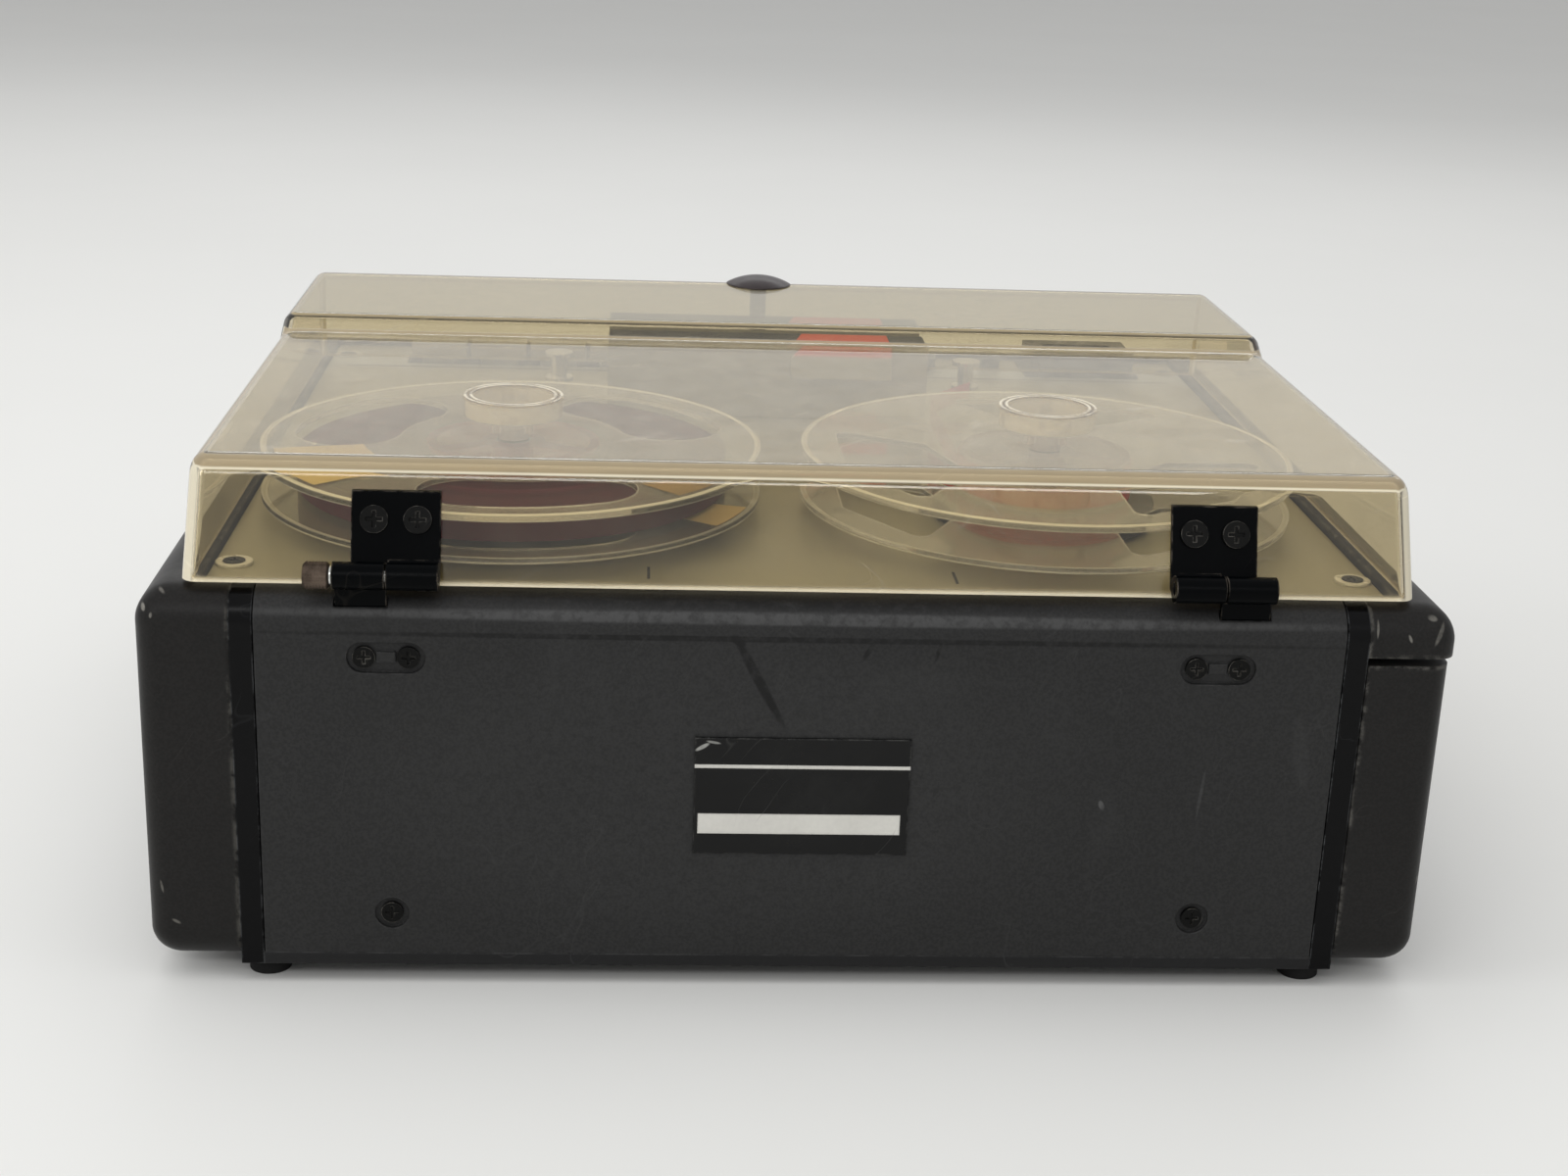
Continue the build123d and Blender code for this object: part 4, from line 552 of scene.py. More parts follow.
@dataclass(frozen=True)
class CellFinish:
    """Jackets of round cells that lie end to end along Y, with bare metal at their ends."""

    name: str
    jacket: Colour
    stripe: Colour
    metal: Colour
    first: float
    pitch: float

    def make(self) -> bpy.types.Material:
        """Build the material."""
        recipe = Recipe(self.name)
        run = recipe.less(recipe.part("Y"), self.first)
        share = recipe.calc("FRACT", recipe.calc("DIVIDE", run, self.pitch))
        bare = recipe.most(recipe.band(share, 0.03, 0.025), recipe.band(share, 0.945, 0.95))
        striped = recipe.times(recipe.band(share, 0.66, 0.665), recipe.band(share, 0.84, 0.835))
        colour = recipe.mix(striped, self.jacket, self.stripe)
        grubby = recipe.band(recipe.noise(90.0, 5.0, 0.6), 0.5, 0.8, 0.0, 0.3)
        colour = recipe.mix(grubby, colour, (0.02, 0.02, 0.02))
        recipe.set(Base_Color=recipe.mix(bare, colour, self.metal), Metallic=bare,
                   Roughness=recipe.band(bare, 0.0, 1.0, 0.4, 0.25))
        return recipe.material


Finish = CoatFinish | MetalFinish | ClearFinish | WoundFinish | CellFinish


class Palette:
    """Makes each finish once and hands its material out."""

    def __init__(self) -> None:
        """Start with nothing made."""
        self.made: dict[str, bpy.types.Material] = {}

    def of(self, finish: Finish) -> bpy.types.Material:
        """Material of a finish."""
        if finish.name not in self.made:
            self.made[finish.name] = finish.make()
        return self.made[finish.name]


PALETTE = Palette()

REAR_SCUFFS_AND_PAINTED_LIGHT = (
    # Broad pale patch in the middle of the panel: a painted sheen.
    Mark(20.0, 140.2, 50.0, 200.0, 90.0, 0.0, 0.05),
    # This and the next two bands along the rolled top edge are painted light: a black painted shadow under
    # the lid, a painted highlight, and a painted shade line below it.
    Mark(0.0, 139.2, 97.2, 320.0, 5.4, 0.0, 1.0, dark=True),
    Mark(0.0, 140.2, 93.3, 320.0, 3.6, 0.0, 0.3),
    Mark(0.0, 140.2, 88.5, 320.0, 1.8, 0.0, 0.9, dark=True),
    # The rest are smears, nicks and scuffs.
    Mark(11.0, 140.2, 78.5, 30.0, 3.0, 62.0, 0.95, dark=True),
    Mark(8.0, 140.2, 73.0, 16.0, 2.0, 60.0, 0.8, dark=True),
    Mark(-14.2, 140.2, 86.0, 7.0, 1.6, 120.0, 0.85, dark=True),
    Mark(-30.3, 140.2, 86.0, 6.0, 1.2, 104.0, 0.85, dark=True),
    Mark(16.0, 140.2, 88.0, 5.0, 2.6, 30.0, 0.85, dark=True),
    Mark(-71.4, 140.2, 48.0, 3.2, 1.6, 70.0, 0.5),
    Mark(-95.0, 140.2, 51.0, 15.0, 1.0, 95.0, 0.16),
    Mark(-118.0, 140.2, 62.0, 22.0, 5.0, 80.0, 0.06),
)
LABEL_MARKS = (
    Mark(23.6, 140.9, 62.0, 4.5, 1.2, 150.0, 0.8),
    Mark(21.0, 140.9, 63.2, 4.0, 0.8, 190.0, 0.6),
)
CAP_MARKS = (
    Mark(150.6, 139.0, 93.5, 2.2, 1.4, 70.0, 0.8),
    Mark(148.6, 139.0, 92.0, 1.6, 0.9, 100.0, 0.7),
    Mark(147.0, 138.0, 97.0, 3.4, 1.0, 30.0, 0.5),
    Mark(149.3, 139.0, 24.8, 4.0, 0.8, 80.0, 0.4),
    Mark(146.3, 139.0, 15.9, 3.0, 1.0, 30.0, 0.4),
    Mark(-150.8, 139.0, 28.7, 3.0, 0.8, 100.0, 0.4),
    Mark(-148.0, 139.0, 92.0, 7.0, 1.4, 112.0, 0.4),
    Mark(-146.4, 139.0, 95.5, 3.0, 1.6, 10.0, 0.45),
    Mark(-141.0, 139.0, 91.0, 2.6, 0.9, 66.0, 0.6),
    Mark(-133.2, 139.0, 93.0, 5.0, 0.7, 92.0, 0.5),
)
REAR_PAINT = CoatFinish(
    "charcoal_panel_paint", shade(40, 40, 40), shade(104, 104, 104), rough=0.46, depth=0.00004, speckle=0.45,
    scratch=0.05, specular=0.22, marks=REAR_SCUFFS_AND_PAINTED_LIGHT)
FRONT_PAINT = replace(REAR_PAINT, name="charcoal_front_paint", edge_wear=0.35, scratch=0.06, marks=())
CAP_PLASTIC = CoatFinish(
    "charcoal_end_cap", shade(29, 28, 27), shade(140, 137, 130), rough=0.38, depth=0.00004, speckle=0.4,
    edge=0.002, edge_wear=0.55, scratch=0.03, specular=0.17, marks=CAP_MARKS)
FRAME_GLOSS = CoatFinish(
    "gloss_black_frame", shade(8, 8, 9), shade(104, 106, 108), rough=0.2, grain=500.0, depth=0.00002,
    mottling=0.06, edge_wear=0.8, scratch=0.04, specular=0.11)
BLACK_LACQUER = CoatFinish(
    "black_hinge_lacquer", shade(2, 3, 4), shade(122, 114, 104), rough=0.24, grain=700.0, depth=0.00004,
    mottling=0.03, edge_wear=0.8, scratch=0.03, specular=0.05)
BLACK_STEEL = CoatFinish(
    "blackened_screw_steel", shade(12, 12, 11), shade(150, 146, 138), rough=0.34, grain=1400.0, depth=0.00004,
    mottling=0.25, edge=0.0003, edge_wear=0.7, metal=0.3, specular=0.14)
LABEL_GLOSS = CoatFinish(
    "label_gloss_black", shade(13, 13, 13), shade(170, 170, 165), rough=0.2, grain=160.0, depth=0.0001,
    mottling=0.04, speckle=0.0, edge_wear=0.2, scratch=0.05, specular=0.2, marks=LABEL_MARKS)
LABEL_INK = CoatFinish(
    "label_pale_ink", shade(208, 206, 199), shade(150, 148, 140), rough=0.4, grain=900.0, mottling=0.3,
    speckle=0.05, edge_wear=0.1, scratch=0.5)
RUBBER = CoatFinish(
    "black_rubber", shade(24, 24, 24), shade(84, 82, 80), rough=0.78, depth=0.00006, mottling=0.3,
    scratch=0.05, specular=0.25)
DECK_OLIVE = CoatFinish(
    "olive_deck_lacquer", shade(160, 156, 136), shade(104, 100, 86), rough=0.4, grain=1900.0, speckle=0.08,
    scratch=0.12, metal=0.2)
BLACK_PLASTIC = CoatFinish(
    "black_moulded_plastic", shade(22, 22, 23), shade(96, 96, 96), rough=0.36, grain=1300.0, depth=0.00002,
    mottling=0.15, edge_wear=0.35, specular=0.25)
CATCH_PLASTIC = CoatFinish(
    "dark_catch_plastic", shade(52, 45, 46), shade(122, 114, 110), rough=0.34, grain=900.0, mottling=0.14,
    scratch=0.05, specular=0.2)
GLOSS_PLASTIC = CoatFinish(
    "black_gloss_plastic", shade(14, 14, 15), shade(110, 110, 110), rough=0.16, grain=500.0, mottling=0.08,
    specular=0.3)
COVER_METAL = replace(
    DECK_OLIVE, name="head_cover_lacquer", colour=shade(150, 147, 130), rough=0.42, scratch=0.15)
NAVY_STRIPE = CoatFinish(
    "navy_cover_stripe", shade(12, 16, 26), shade(64, 70, 80), mottling=0.12, scratch=0.1, specular=0.12)
ORANGE_ACCENT = CoatFinish(
    "orange_accent", shade(228, 80, 38), shade(240, 164, 130), grain=700.0, mottling=0.1, speckle=0.05,
    edge_wear=0.2, scratch=0.05, specular=0.15, lower_level=0.1155, lower_colour=shade(150, 147, 130))
RED_FILM = CoatFinish(
    "red_leader_film", shade(214, 34, 30), shade(228, 120, 108), rough=0.24, grain=400.0, depth=0.00004,
    mottling=0.2, speckle=0.05, edge_wear=0.2)
RED_KEY = CoatFinish(
    "red_key_plastic", shade(168, 38, 30), shade(210, 130, 118), rough=0.3, grain=900.0, mottling=0.14,
    speckle=0.05, edge_wear=0.4)
SILVER_KEY = CoatFinish(
    "satin_silver_key", shade(176, 176, 172), shade(120, 118, 112), rough=0.3, grain=2400.0, mottling=0.12,
    speckle=0.08, edge_wear=0.4, metal=0.75)
PAPER_LABEL = CoatFinish(
    "amber_paper_label", shade(222, 194, 138), shade(236, 222, 186), rough=0.7, grain=1600.0, depth=0.00005,
    mottling=0.4, speckle=0.1, scratch=0.1)
OLD_PAPER = replace(
    PAPER_LABEL, name="brown_paper_label", colour=shade(166, 142, 104), worn=shade(196, 178, 144),
    rough=0.75, mottling=0.5, speckle=0.2)
CONE_PAPER = CoatFinish(
    "speaker_paper", shade(36, 34, 32), shade(86, 80, 74), rough=0.85, grain=800.0, depth=0.0001,
    mottling=0.4, specular=0.2)
CLOTH = CoatFinish(
    "speaker_cloth", shade(26, 26, 27), shade(60, 60, 60), rough=0.95, grain=1100.0, depth=0.0003,
    mottling=0.5, edge_wear=0.0, scratch=0.0, specular=0.2)
PHENOLIC = CoatFinish(
    "phenolic_board", shade(124, 86, 44), shade(176, 140, 96), grain=300.0, depth=0.00008, mottling=0.6,
    edge_wear=0.4)
INK = CoatFinish(
    "white_print", shade(222, 222, 216), shade(180, 180, 172), grain=900.0, mottling=0.15, speckle=0.05,
    edge_wear=0.1, scratch=0.2)
DARK_INK = replace(
    INK, name="black_print", colour=shade(16, 15, 14), worn=shade(90, 88, 80), mottling=0.2, speckle=0.25)
IVORY = CoatFinish(
    "ivory_scale_card", shade(232, 224, 196), shade(206, 192, 150), rough=0.6, grain=700.0, mottling=0.3,
    speckle=0.03, edge_wear=0.1, scratch=0.05)
RED_HUB = CoatFinish(
    "red_hub_plastic", shade(206, 48, 38), shade(226, 140, 120), rough=0.3, grain=500.0, depth=0.00002,
    mottling=0.3, speckle=0.05)
EYELET = CoatFinish(
    "bright_eyelet", shade(226, 224, 214), shade(150, 146, 130), rough=0.22, grain=700.0, mottling=0.2,
    speckle=0.03, edge_wear=0.2, metal=0.35)
BRIGHT = MetalFinish("bright_collar", (0.86, 0.86, 0.82), (0.45, 0.43, 0.36), rough=0.2, tarnished=0.2)
NICKEL = MetalFinish("dirty_nickel", (0.15, 0.115, 0.09), (0.02, 0.013, 0.009), rough=0.4, tarnished=0.9)
PLATED = MetalFinish("plated_steel", (0.62, 0.61, 0.57), (0.26, 0.24, 0.18), tarnished=0.4)
POLISHED = MetalFinish(
    "polished_head", (0.78, 0.77, 0.75), (0.4, 0.38, 0.34), rough=0.14, along=Along.Z, tarnished=0.2)
CHROME = MetalFinish(
    "chrome_bail", (0.8, 0.8, 0.8), (0.36, 0.34, 0.3), rough=0.09, grain=400.0, tarnished=0.15)
SATIN_ALUMINIUM = MetalFinish(
    "satin_aluminium", (0.72, 0.72, 0.71), (0.4, 0.4, 0.38), along=Along.Y, tarnished=0.15)
CAN_STEEL = MetalFinish("motor_can", (0.5, 0.5, 0.49), (0.24, 0.23, 0.2), rough=0.36, along=Along.Z)
TURNED_ZINC = MetalFinish("turned_zinc", (0.56, 0.56, 0.55), (0.3, 0.29, 0.27), rough=0.32)
BRASS = MetalFinish("turned_brass", (0.72, 0.53, 0.24), (0.3, 0.2, 0.09), rough=0.26)
# Amber lid: its edge colour is a painted amber glow and its pale colour a painted highlight on folds and ring
# lips.
AMBER_ACRYLIC = ClearFinish(
    "amber_smoke_acrylic", shade(234, 228, 210), dust=0.025, top_dust=0.14, scratch=0.16, edge=0.002,
    edge_tint=shade(144, 119, 68), edge_pale=shade(248, 238, 210), high_dust=0.2,
    high_tint=shade(196, 188, 162), halos=((-0.066, 0.06225), (0.0716, 0.06225)), edge_share=0.75, fold=1.0,
    absorbed=(0.80, 0.72, 0.54), density=140.0)
# Clear plastics below take pale painted highlights on their edges.
CLEAR_REEL = ClearFinish("clear_reel_plastic", shade(244, 243, 238), rough=0.01, clear=0.95, dust=0.07)
FROSTED_REEL = ClearFinish("frosted_reel_plastic", shade(247, 247, 246), rough=0.04, clear=0.85, scratch=0.02)
FROSTED_HUB = ClearFinish(
    "frosted_hub_plastic", shade(236, 222, 218), rough=0.2, clear=0.5, dust=0.08, edge_share=0.4)
# Near-white, mostly opaque rim finish: a painted highlight on the clear reel rims and the lid's ring lips.
RIM_HIGHLIGHT_PAINT = ClearFinish(
    "painted_rim_highlight", shade(252, 251, 246), rough=0.05, clear=0.3, scratch=0.02, edge_share=0.2)
METER_GLASS = ClearFinish(
    "meter_glass", shade(246, 248, 248), clear=0.99, dust=0.02, scratch=0.1, edge_share=0.1)


# ------------------------------------------------------------------ piece making
def put_in_order(parts: Any, corners: Callable[[Any], Any]) -> None:
    """Put parts of a mesh in an order that is the same each run.

    Args:
        parts: its vertices or its faces.
        corners: gives the vertices of a part.
    """

    def key(part: Any) -> list[tuple[int, ...]]:
        """Places of a part's corners in whole steps, lowest first."""
        return sorted(tuple(round(value / SAME_PLACE) for value in vert.co) for vert in corners(part))

    for index, part in enumerate(sorted(parts, key=key)):
        part.index = index
    parts.sort()


class Piece:
    """A mesh that is shaped with bmesh operators and then dressed."""

    def __init__(self, name: str) -> None:
        """Start an empty mesh.

        Args:
            name: name of the piece.
        """
        self.name = name
        self.work = bmesh.new()

    def block(self, low: Sequence[float], high: Sequence[float]) -> list[bmesh.types.BMVert]:
        """Box between two corners, in metres."""
        start, end = Vector(low), Vector(high)
        place = Matrix.Translation((start + end) / 2) @ Matrix.Diagonal((*(end - start), 1.0))
        return bmesh.ops.create_cube(self.work, size=1.0, matrix=place)["verts"]

    def turned(self, profile: Sequence[tuple[float, float]], base: Sequence[float], along: Along,
               steps: int = 48) -> None:
        """Surface swept by a profile all round an axis.

        Args:
            profile: radius and distance along the axis of each point, in metres.
            base: point on the axis where the distance is 0.
            along: direction of the axis.
            steps: steps of the sweep.
        """
        axis = Vector(along.value)
        out = Vector((0, 0, 1)) if along is not Along.Z else Vector((1, 0, 0))
        corners = [self.work.verts.new(Vector(base) + out * r + axis * d) for r, d in profile]
        edges = [self.work.edges.new(pair) for pair in zip(corners, corners[1:])]
        known = set(self.work.faces)
        bmesh.ops.spin(self.work, geom=[*corners, *edges], cent=Vector(base), axis=axis,
                       angle=math.tau, steps=steps, use_merge=True, use_duplicate=False)
        bmesh.ops.remove_doubles(self.work, verts=list(self.work.verts), dist=SAME_PLACE)
        faces = [face for face in self.work.faces if face not in known]
        bmesh.ops.recalc_face_normals(self.work, faces=faces)

    def sector(self, centre: Sequence[float], inner: float, outer: float, start: float, sweep: float,
               thick: float, steps: int = 16) -> None:
        """Flat plate that is part of a ring round Z.

        Args:
            centre: middle of the ring's underside.
            inner: inner radius.
            outer: outer radius.
            start: angle where it starts, in degrees from +X.
            sweep: angle that it covers, in degrees.
            thick: thickness.
            steps: steps of the sweep.
        """
        middle = Vector(centre)
        turn = Matrix.Rotation(math.radians(start), 3, "Z")
        ends = [self.work.verts.new(middle + turn @ Vector((radius, 0, 0))) for radius in (inner, outer)]
        edge = self.work.edges.new(ends)
        known = set(self.work.faces)
        bmesh.ops.spin(self.work, geom=[*ends, edge], cent=middle, axis=(0, 0, 1),
                       angle=math.radians(sweep), steps=steps, use_merge=False, use_duplicate=False)
        flat = [face for face in self.work.faces if face not in known]
        raised = bmesh.ops.extrude_face_region(self.work, geom=flat)
        verts = [item for item in raised["geom"] if isinstance(item, bmesh.types.BMVert)]
        bmesh.ops.translate(self.work, vec=(0, 0, thick), verts=verts)
        bmesh.ops.recalc_face_normals(self.work, faces=list(self.work.faces))

    def soften(self, width: float, segments: int = 2, angle: float = 30.0) -> None:
        """Bevel every edge sharper than an angle.

        Args:
            width: width of the bevel, in metres.
            segments: faces across it.
            angle: least angle between the faces, in degrees.
        """
        limit = math.radians(angle)
        sharp = [edge for edge in self.work.edges if edge.is_manifold and edge.calc_face_angle() > limit]
        bmesh.ops.bevel(self.work, geom=sharp, offset=width, offset_type="OFFSET", segments=segments,
                        profile=0.5, affect="EDGES", material=-1, clamp_overlap=True)

    def add_mesh(self, mesh: bpy.types.Mesh, place: Matrix) -> None:
        """Add a finished mesh at a place."""
        mesh.transform(place)
        self.work.from_mesh(mesh)

    def finish(self, body: str, slot: str, look: Finish, smooth: float = 35.0,
               replaces: Sequence[str] = ()) -> bpy.types.Object:
        """Make the object, dress it and seat it on its body.

        Args:
            body: CAD body that it rides on.
            slot: material slot of the record; not used.
            look: its finish.
            smooth: angle up to which faces shade smoothly, in degrees.
            replaces: CAD nodes that it stands for.

        Returns:
            The object.
        """
        bmesh.ops.remove_doubles(self.work, verts=list(self.work.verts), dist=SAME_PLACE)
        put_in_order(self.work.verts, lambda vert: [vert])
        put_in_order(self.work.faces, lambda face: face.verts)
        mesh = bpy.data.meshes.new(self.name)
        self.work.to_mesh(mesh)
        self.work.free()
        mesh.shade_smooth()
        mesh.set_sharp_from_angle(angle=math.radians(smooth))
        mesh.materials.append(PALETTE.of(look))
        obj = placed(self.name, mesh)
        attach(obj, body)
        if replaces:
            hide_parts(*replaces)
        log.info("piece %s on %s", self.name, body)
        return obj


def placed(name: str, data: Any) -> bpy.types.Object:
    """New object in the scene.

    Args:
        name: its name.
        data: its mesh, curve, lamp or camera.

    Returns:
        The object.
    """
    obj = bpy.data.objects.new(name, data)
    bpy.context.scene.collection.objects.link(obj)
    return obj


def numeral(text: str, height: float, thick: float) -> bpy.types.Mesh:
    """Mesh of a plain number, standing up in X and Y and centred on the origin.

    Args:
        text: the number.
        height: size of the type, in metres.
        thick: thickness, in metres.

    Returns:
        The mesh.
    """
    curve = bpy.data.curves.new("numeral", "FONT")
    curve.body = text
    curve.size = height
    curve.extrude = thick / 2
    curve.resolution_u = 2
    curve.align_x = "CENTER"
    curve.align_y = "CENTER"
    holder = placed("numeral", curve)
    bpy.context.view_layer.update()
    mesh = bpy.data.meshes.new_from_object(holder)
    bpy.data.objects.remove(holder)
    return mesh


def dress(finishes: dict[str, Finish]) -> None:
    """Give CAD nodes their finishes.

    Args:
        finishes: the finish of each node, by name.
    """
    for node, look in finishes.items():
        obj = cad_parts[node]
        if not obj.material_slots:
            obj.data.materials.append(None)
        for place in obj.material_slots:
            place.material = PALETTE.of(look)
        log.info("node %s in %s", node, look.name)


def middle(node: str) -> Vector:
    """Middle of a CAD node's box."""
    low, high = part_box(node)
    return (low + high) / 2


def slab(name: str, low: Sequence[float], high: Sequence[float], body: str, slot: str,
         look: Finish) -> None:
    """Piece that is one plain block.

    Args:
        name: name of the piece.
        low: its lowest corner, in metres.
        high: its highest corner, in metres.
        body: CAD body that it rides on.
        slot: material slot of the record.
        look: its finish.
    """
    piece = Piece(name)
    piece.block(low, high)
    piece.finish(body, slot, look)


# ------------------------------------------------------------------ sub-assemblies
@dataclass
class Assembly:
    """Group of CAD nodes with their finishes, and the small pieces added to them."""

    looks: ClassVar[dict[str, Finish]] = {}

    def build(self) -> None:
        """Dress the nodes and add the pieces."""
        dress(self.looks)
        self.add()

    def add(self) -> None:
        """Add the group's own pieces, if it has any."""


@dataclass
class Case(Assembly):
    """Case shell, its label, screws, feet and grille."""

    looks = {
        "base_tray": BLACK_PLASTIC, "rear_panel": REAR_PAINT, "front_panel": FRONT_PAINT,
        "side_frames": FRAME_GLOSS, "end_cap_right": CAP_PLASTIC, "end_cap_left": CAP_PLASTIC,
        "label_plate": LABEL_GLOSS, "case_screws": BLACK_STEEL, "feet": RUBBER, "speaker": CONE_PAPER,
    }

    label_line_rise: float = 57.2 * MM
    label_line_height: float = 0.9 * MM
    label_bar_left: float = -23.5 * MM
    label_bar_right: float = 24.3 * MM
    label_bar_low: float = 40.1 * MM
    label_bar_high: float = 45.2 * MM
    print_sheet: float = 0.06 * MM
    cloth_radius: float = 34.0 * MM
    cloth_sheet: float = 0.4 * MM

    def add(self) -> None:
        """Add the label's print and the speaker cloth."""
        self.label_print()
        self.speaker_cloth()

    def label_print(self) -> None:
        """Pale line and blank pale bar on the label plate."""
        low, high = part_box("label_plate")
        face, top = high.y, high.y + self.print_sheet
        half = self.label_line_height / 2
        slab("label_line", (low.x, face, self.label_line_rise - half),
             (high.x, top, self.label_line_rise + half), "case", "label_plate", LABEL_INK)
        slab("label_bar", (self.label_bar_left, face, self.label_bar_low),
             (self.label_bar_right, top, self.label_bar_high), "case", "label_plate", LABEL_INK)

    def speaker_cloth(self) -> None:
        """Round cloth behind the slots of the grille."""
        high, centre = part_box("speaker")[1], middle("speaker")
        cloth = Piece("speaker_cloth")
        reach, sheet = self.cloth_radius, self.cloth_sheet
        profile = [(0.0, 0.0), (reach, 0.0), (reach, sheet), (0.0, sheet)]
        cloth.turned(profile, (high.x - 2 * sheet, centre.y, centre.z), Along.X)
        cloth.finish("case", "speaker", CLOTH)


@dataclass
class Hinges(Assembly):
    """Lid hinges and the grooved knob of the pull-out pin."""

    looks = {"case_hinge_leaves": BLACK_LACQUER, "lid_hinge_leaves": BLACK_LACQUER,
             "lid_screws": BLACK_STEEL}

    knob_length: float = 5.9 * MM
    knob_radius: float = 3.0 * MM
    collar_length: float = 0.5 * MM
    collar_radius: float = 2.3 * MM
    pin_radius: float = 1.5 * MM
    rim: float = 0.5 * MM
    knurl: float = 0.22 * MM
    rows: int = 7
    columns: int = 28

    def add(self) -> None:
        """Add the pin with its bright collar and its knurled knob."""
        low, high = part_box("hinge_pin")
        centre = middle("hinge_pin")
        start = high.x - self.knob_length
        base = (0.0, centre.y, centre.z)
        shaft = Piece("hinge_pin_shaft")
        shaft.turned([(0.0, low.x), (self.pin_radius, low.x), (self.pin_radius, start - self.collar_length),
                      (self.collar_radius, start - self.collar_length), (self.collar_radius, start),
                      (0.0, start)], base, Along.X, steps=32)
        shaft.finish("hinge_pin", "hinge_pin", BRIGHT, replaces=["hinge_pin"])
        knob = Piece("hinge_pin_knob")
        end = high.x
        radius = self.knob_radius
        inner, outer = start + self.rim, end - self.rim
        ledge = [(radius, inner + (outer - inner) * row / self.rows) for row in range(self.rows + 1)]
        profile = [(0.0, start), (radius - self.rim, start), *ledge, (radius - self.rim, end), (0.0, end)]
        knob.turned(profile, base, Along.X, steps=self.columns)
        middle_faces = [face for face in knob.work.faces if inner < face.calc_center_median().x < outer]
        bmesh.ops.poke(knob.work, faces=middle_faces, offset=self.knurl)
        knob.finish("hinge_pin", "hinge_pin", NICKEL, smooth=10.0)


@dataclass
class Lid(Assembly):
    """Clear lid, its catch and the lips of the rings over the spindles, finished as a painted highlight."""

    looks = {"lid_shell": AMBER_ACRYLIC, "lid_catch": CATCH_PLASTIC, "catch_bracket": PLATED}

    ring_radius: float = 12.5 * MM
    ring_wall: float = 2.0 * MM
    ring_low: float = 119.0 * MM
    lip_height: float = 0.5 * MM
    lip_setback: float = 0.1 * MM

    def add(self) -> None:
        """Add a rounded lip under each ring, finished as a painted highlight."""
        lips = Piece("lid_ring_lips")
        outer = self.ring_radius - self.lip_setback
        inner = self.ring_radius - self.ring_wall + self.lip_setback
        step = (outer - inner) / 4
        drop = self.lip_height
        for name in ("supply", "takeup"):
            centre = middle(name + "_hub")
            profile = [(inner, 0.0), (inner + step, -drop * 0.8), (inner + 2 * step, -drop),
                       (inner + 3 * step, -drop * 0.8), (outer, 0.0), (inner, 0.0)]
            lips.turned(profile, (centre.x, centre.y, self.ring_low), Along.Z, steps=64)
        lips.finish("lid", "lid_shell", RIM_HIGHLIGHT_PAINT, smooth=60.0)


@dataclass
class Deck(Assembly):
    """Deck plate with its eyelets and the small printed marks."""

    looks = {"deck_plate": DECK_OLIVE, "deck_eyelets": EYELET, "chassis_plate": TURNED_ZINC,
             "circuit_board": PHENOLIC}

    tick_x: float = 36.7 * MM
    tick_setback: float = 25.0 * MM
    tick_width: float = 0.7 * MM
    tick_length: float = 9.0 * MM
    print_sheet: float = 0.05 * MM
    line_setback: float = 228.0 * MM
    line_width: float = 0.8 * MM
    line_margin: float = 6.0 * MM

    def add(self) -> None:
        """Add the printed marks."""
        low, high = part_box("deck_plate")
        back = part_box("rear_panel")[1].y
        marks = Piece("deck_ticks")
        for side in (1, -1):
            x = side * self.tick_x
            y = back - self.tick_setback
            marks.block((x - self.tick_width / 2, y - self.tick_length / 2, high.z),
                        (x + self.tick_width / 2, y + self.tick_length / 2, high.z + self.print_sheet))
        marks.finish("case", "deck_plate", DARK_INK)
        y = back - self.line_setback
        slab("deck_line", (low.x + self.line_margin, y - self.line_width / 2, high.z),
             (high.x - self.line_margin, y + self.line_width / 2, high.z + self.print_sheet),
             "case", "deck_plate", DARK_INK)


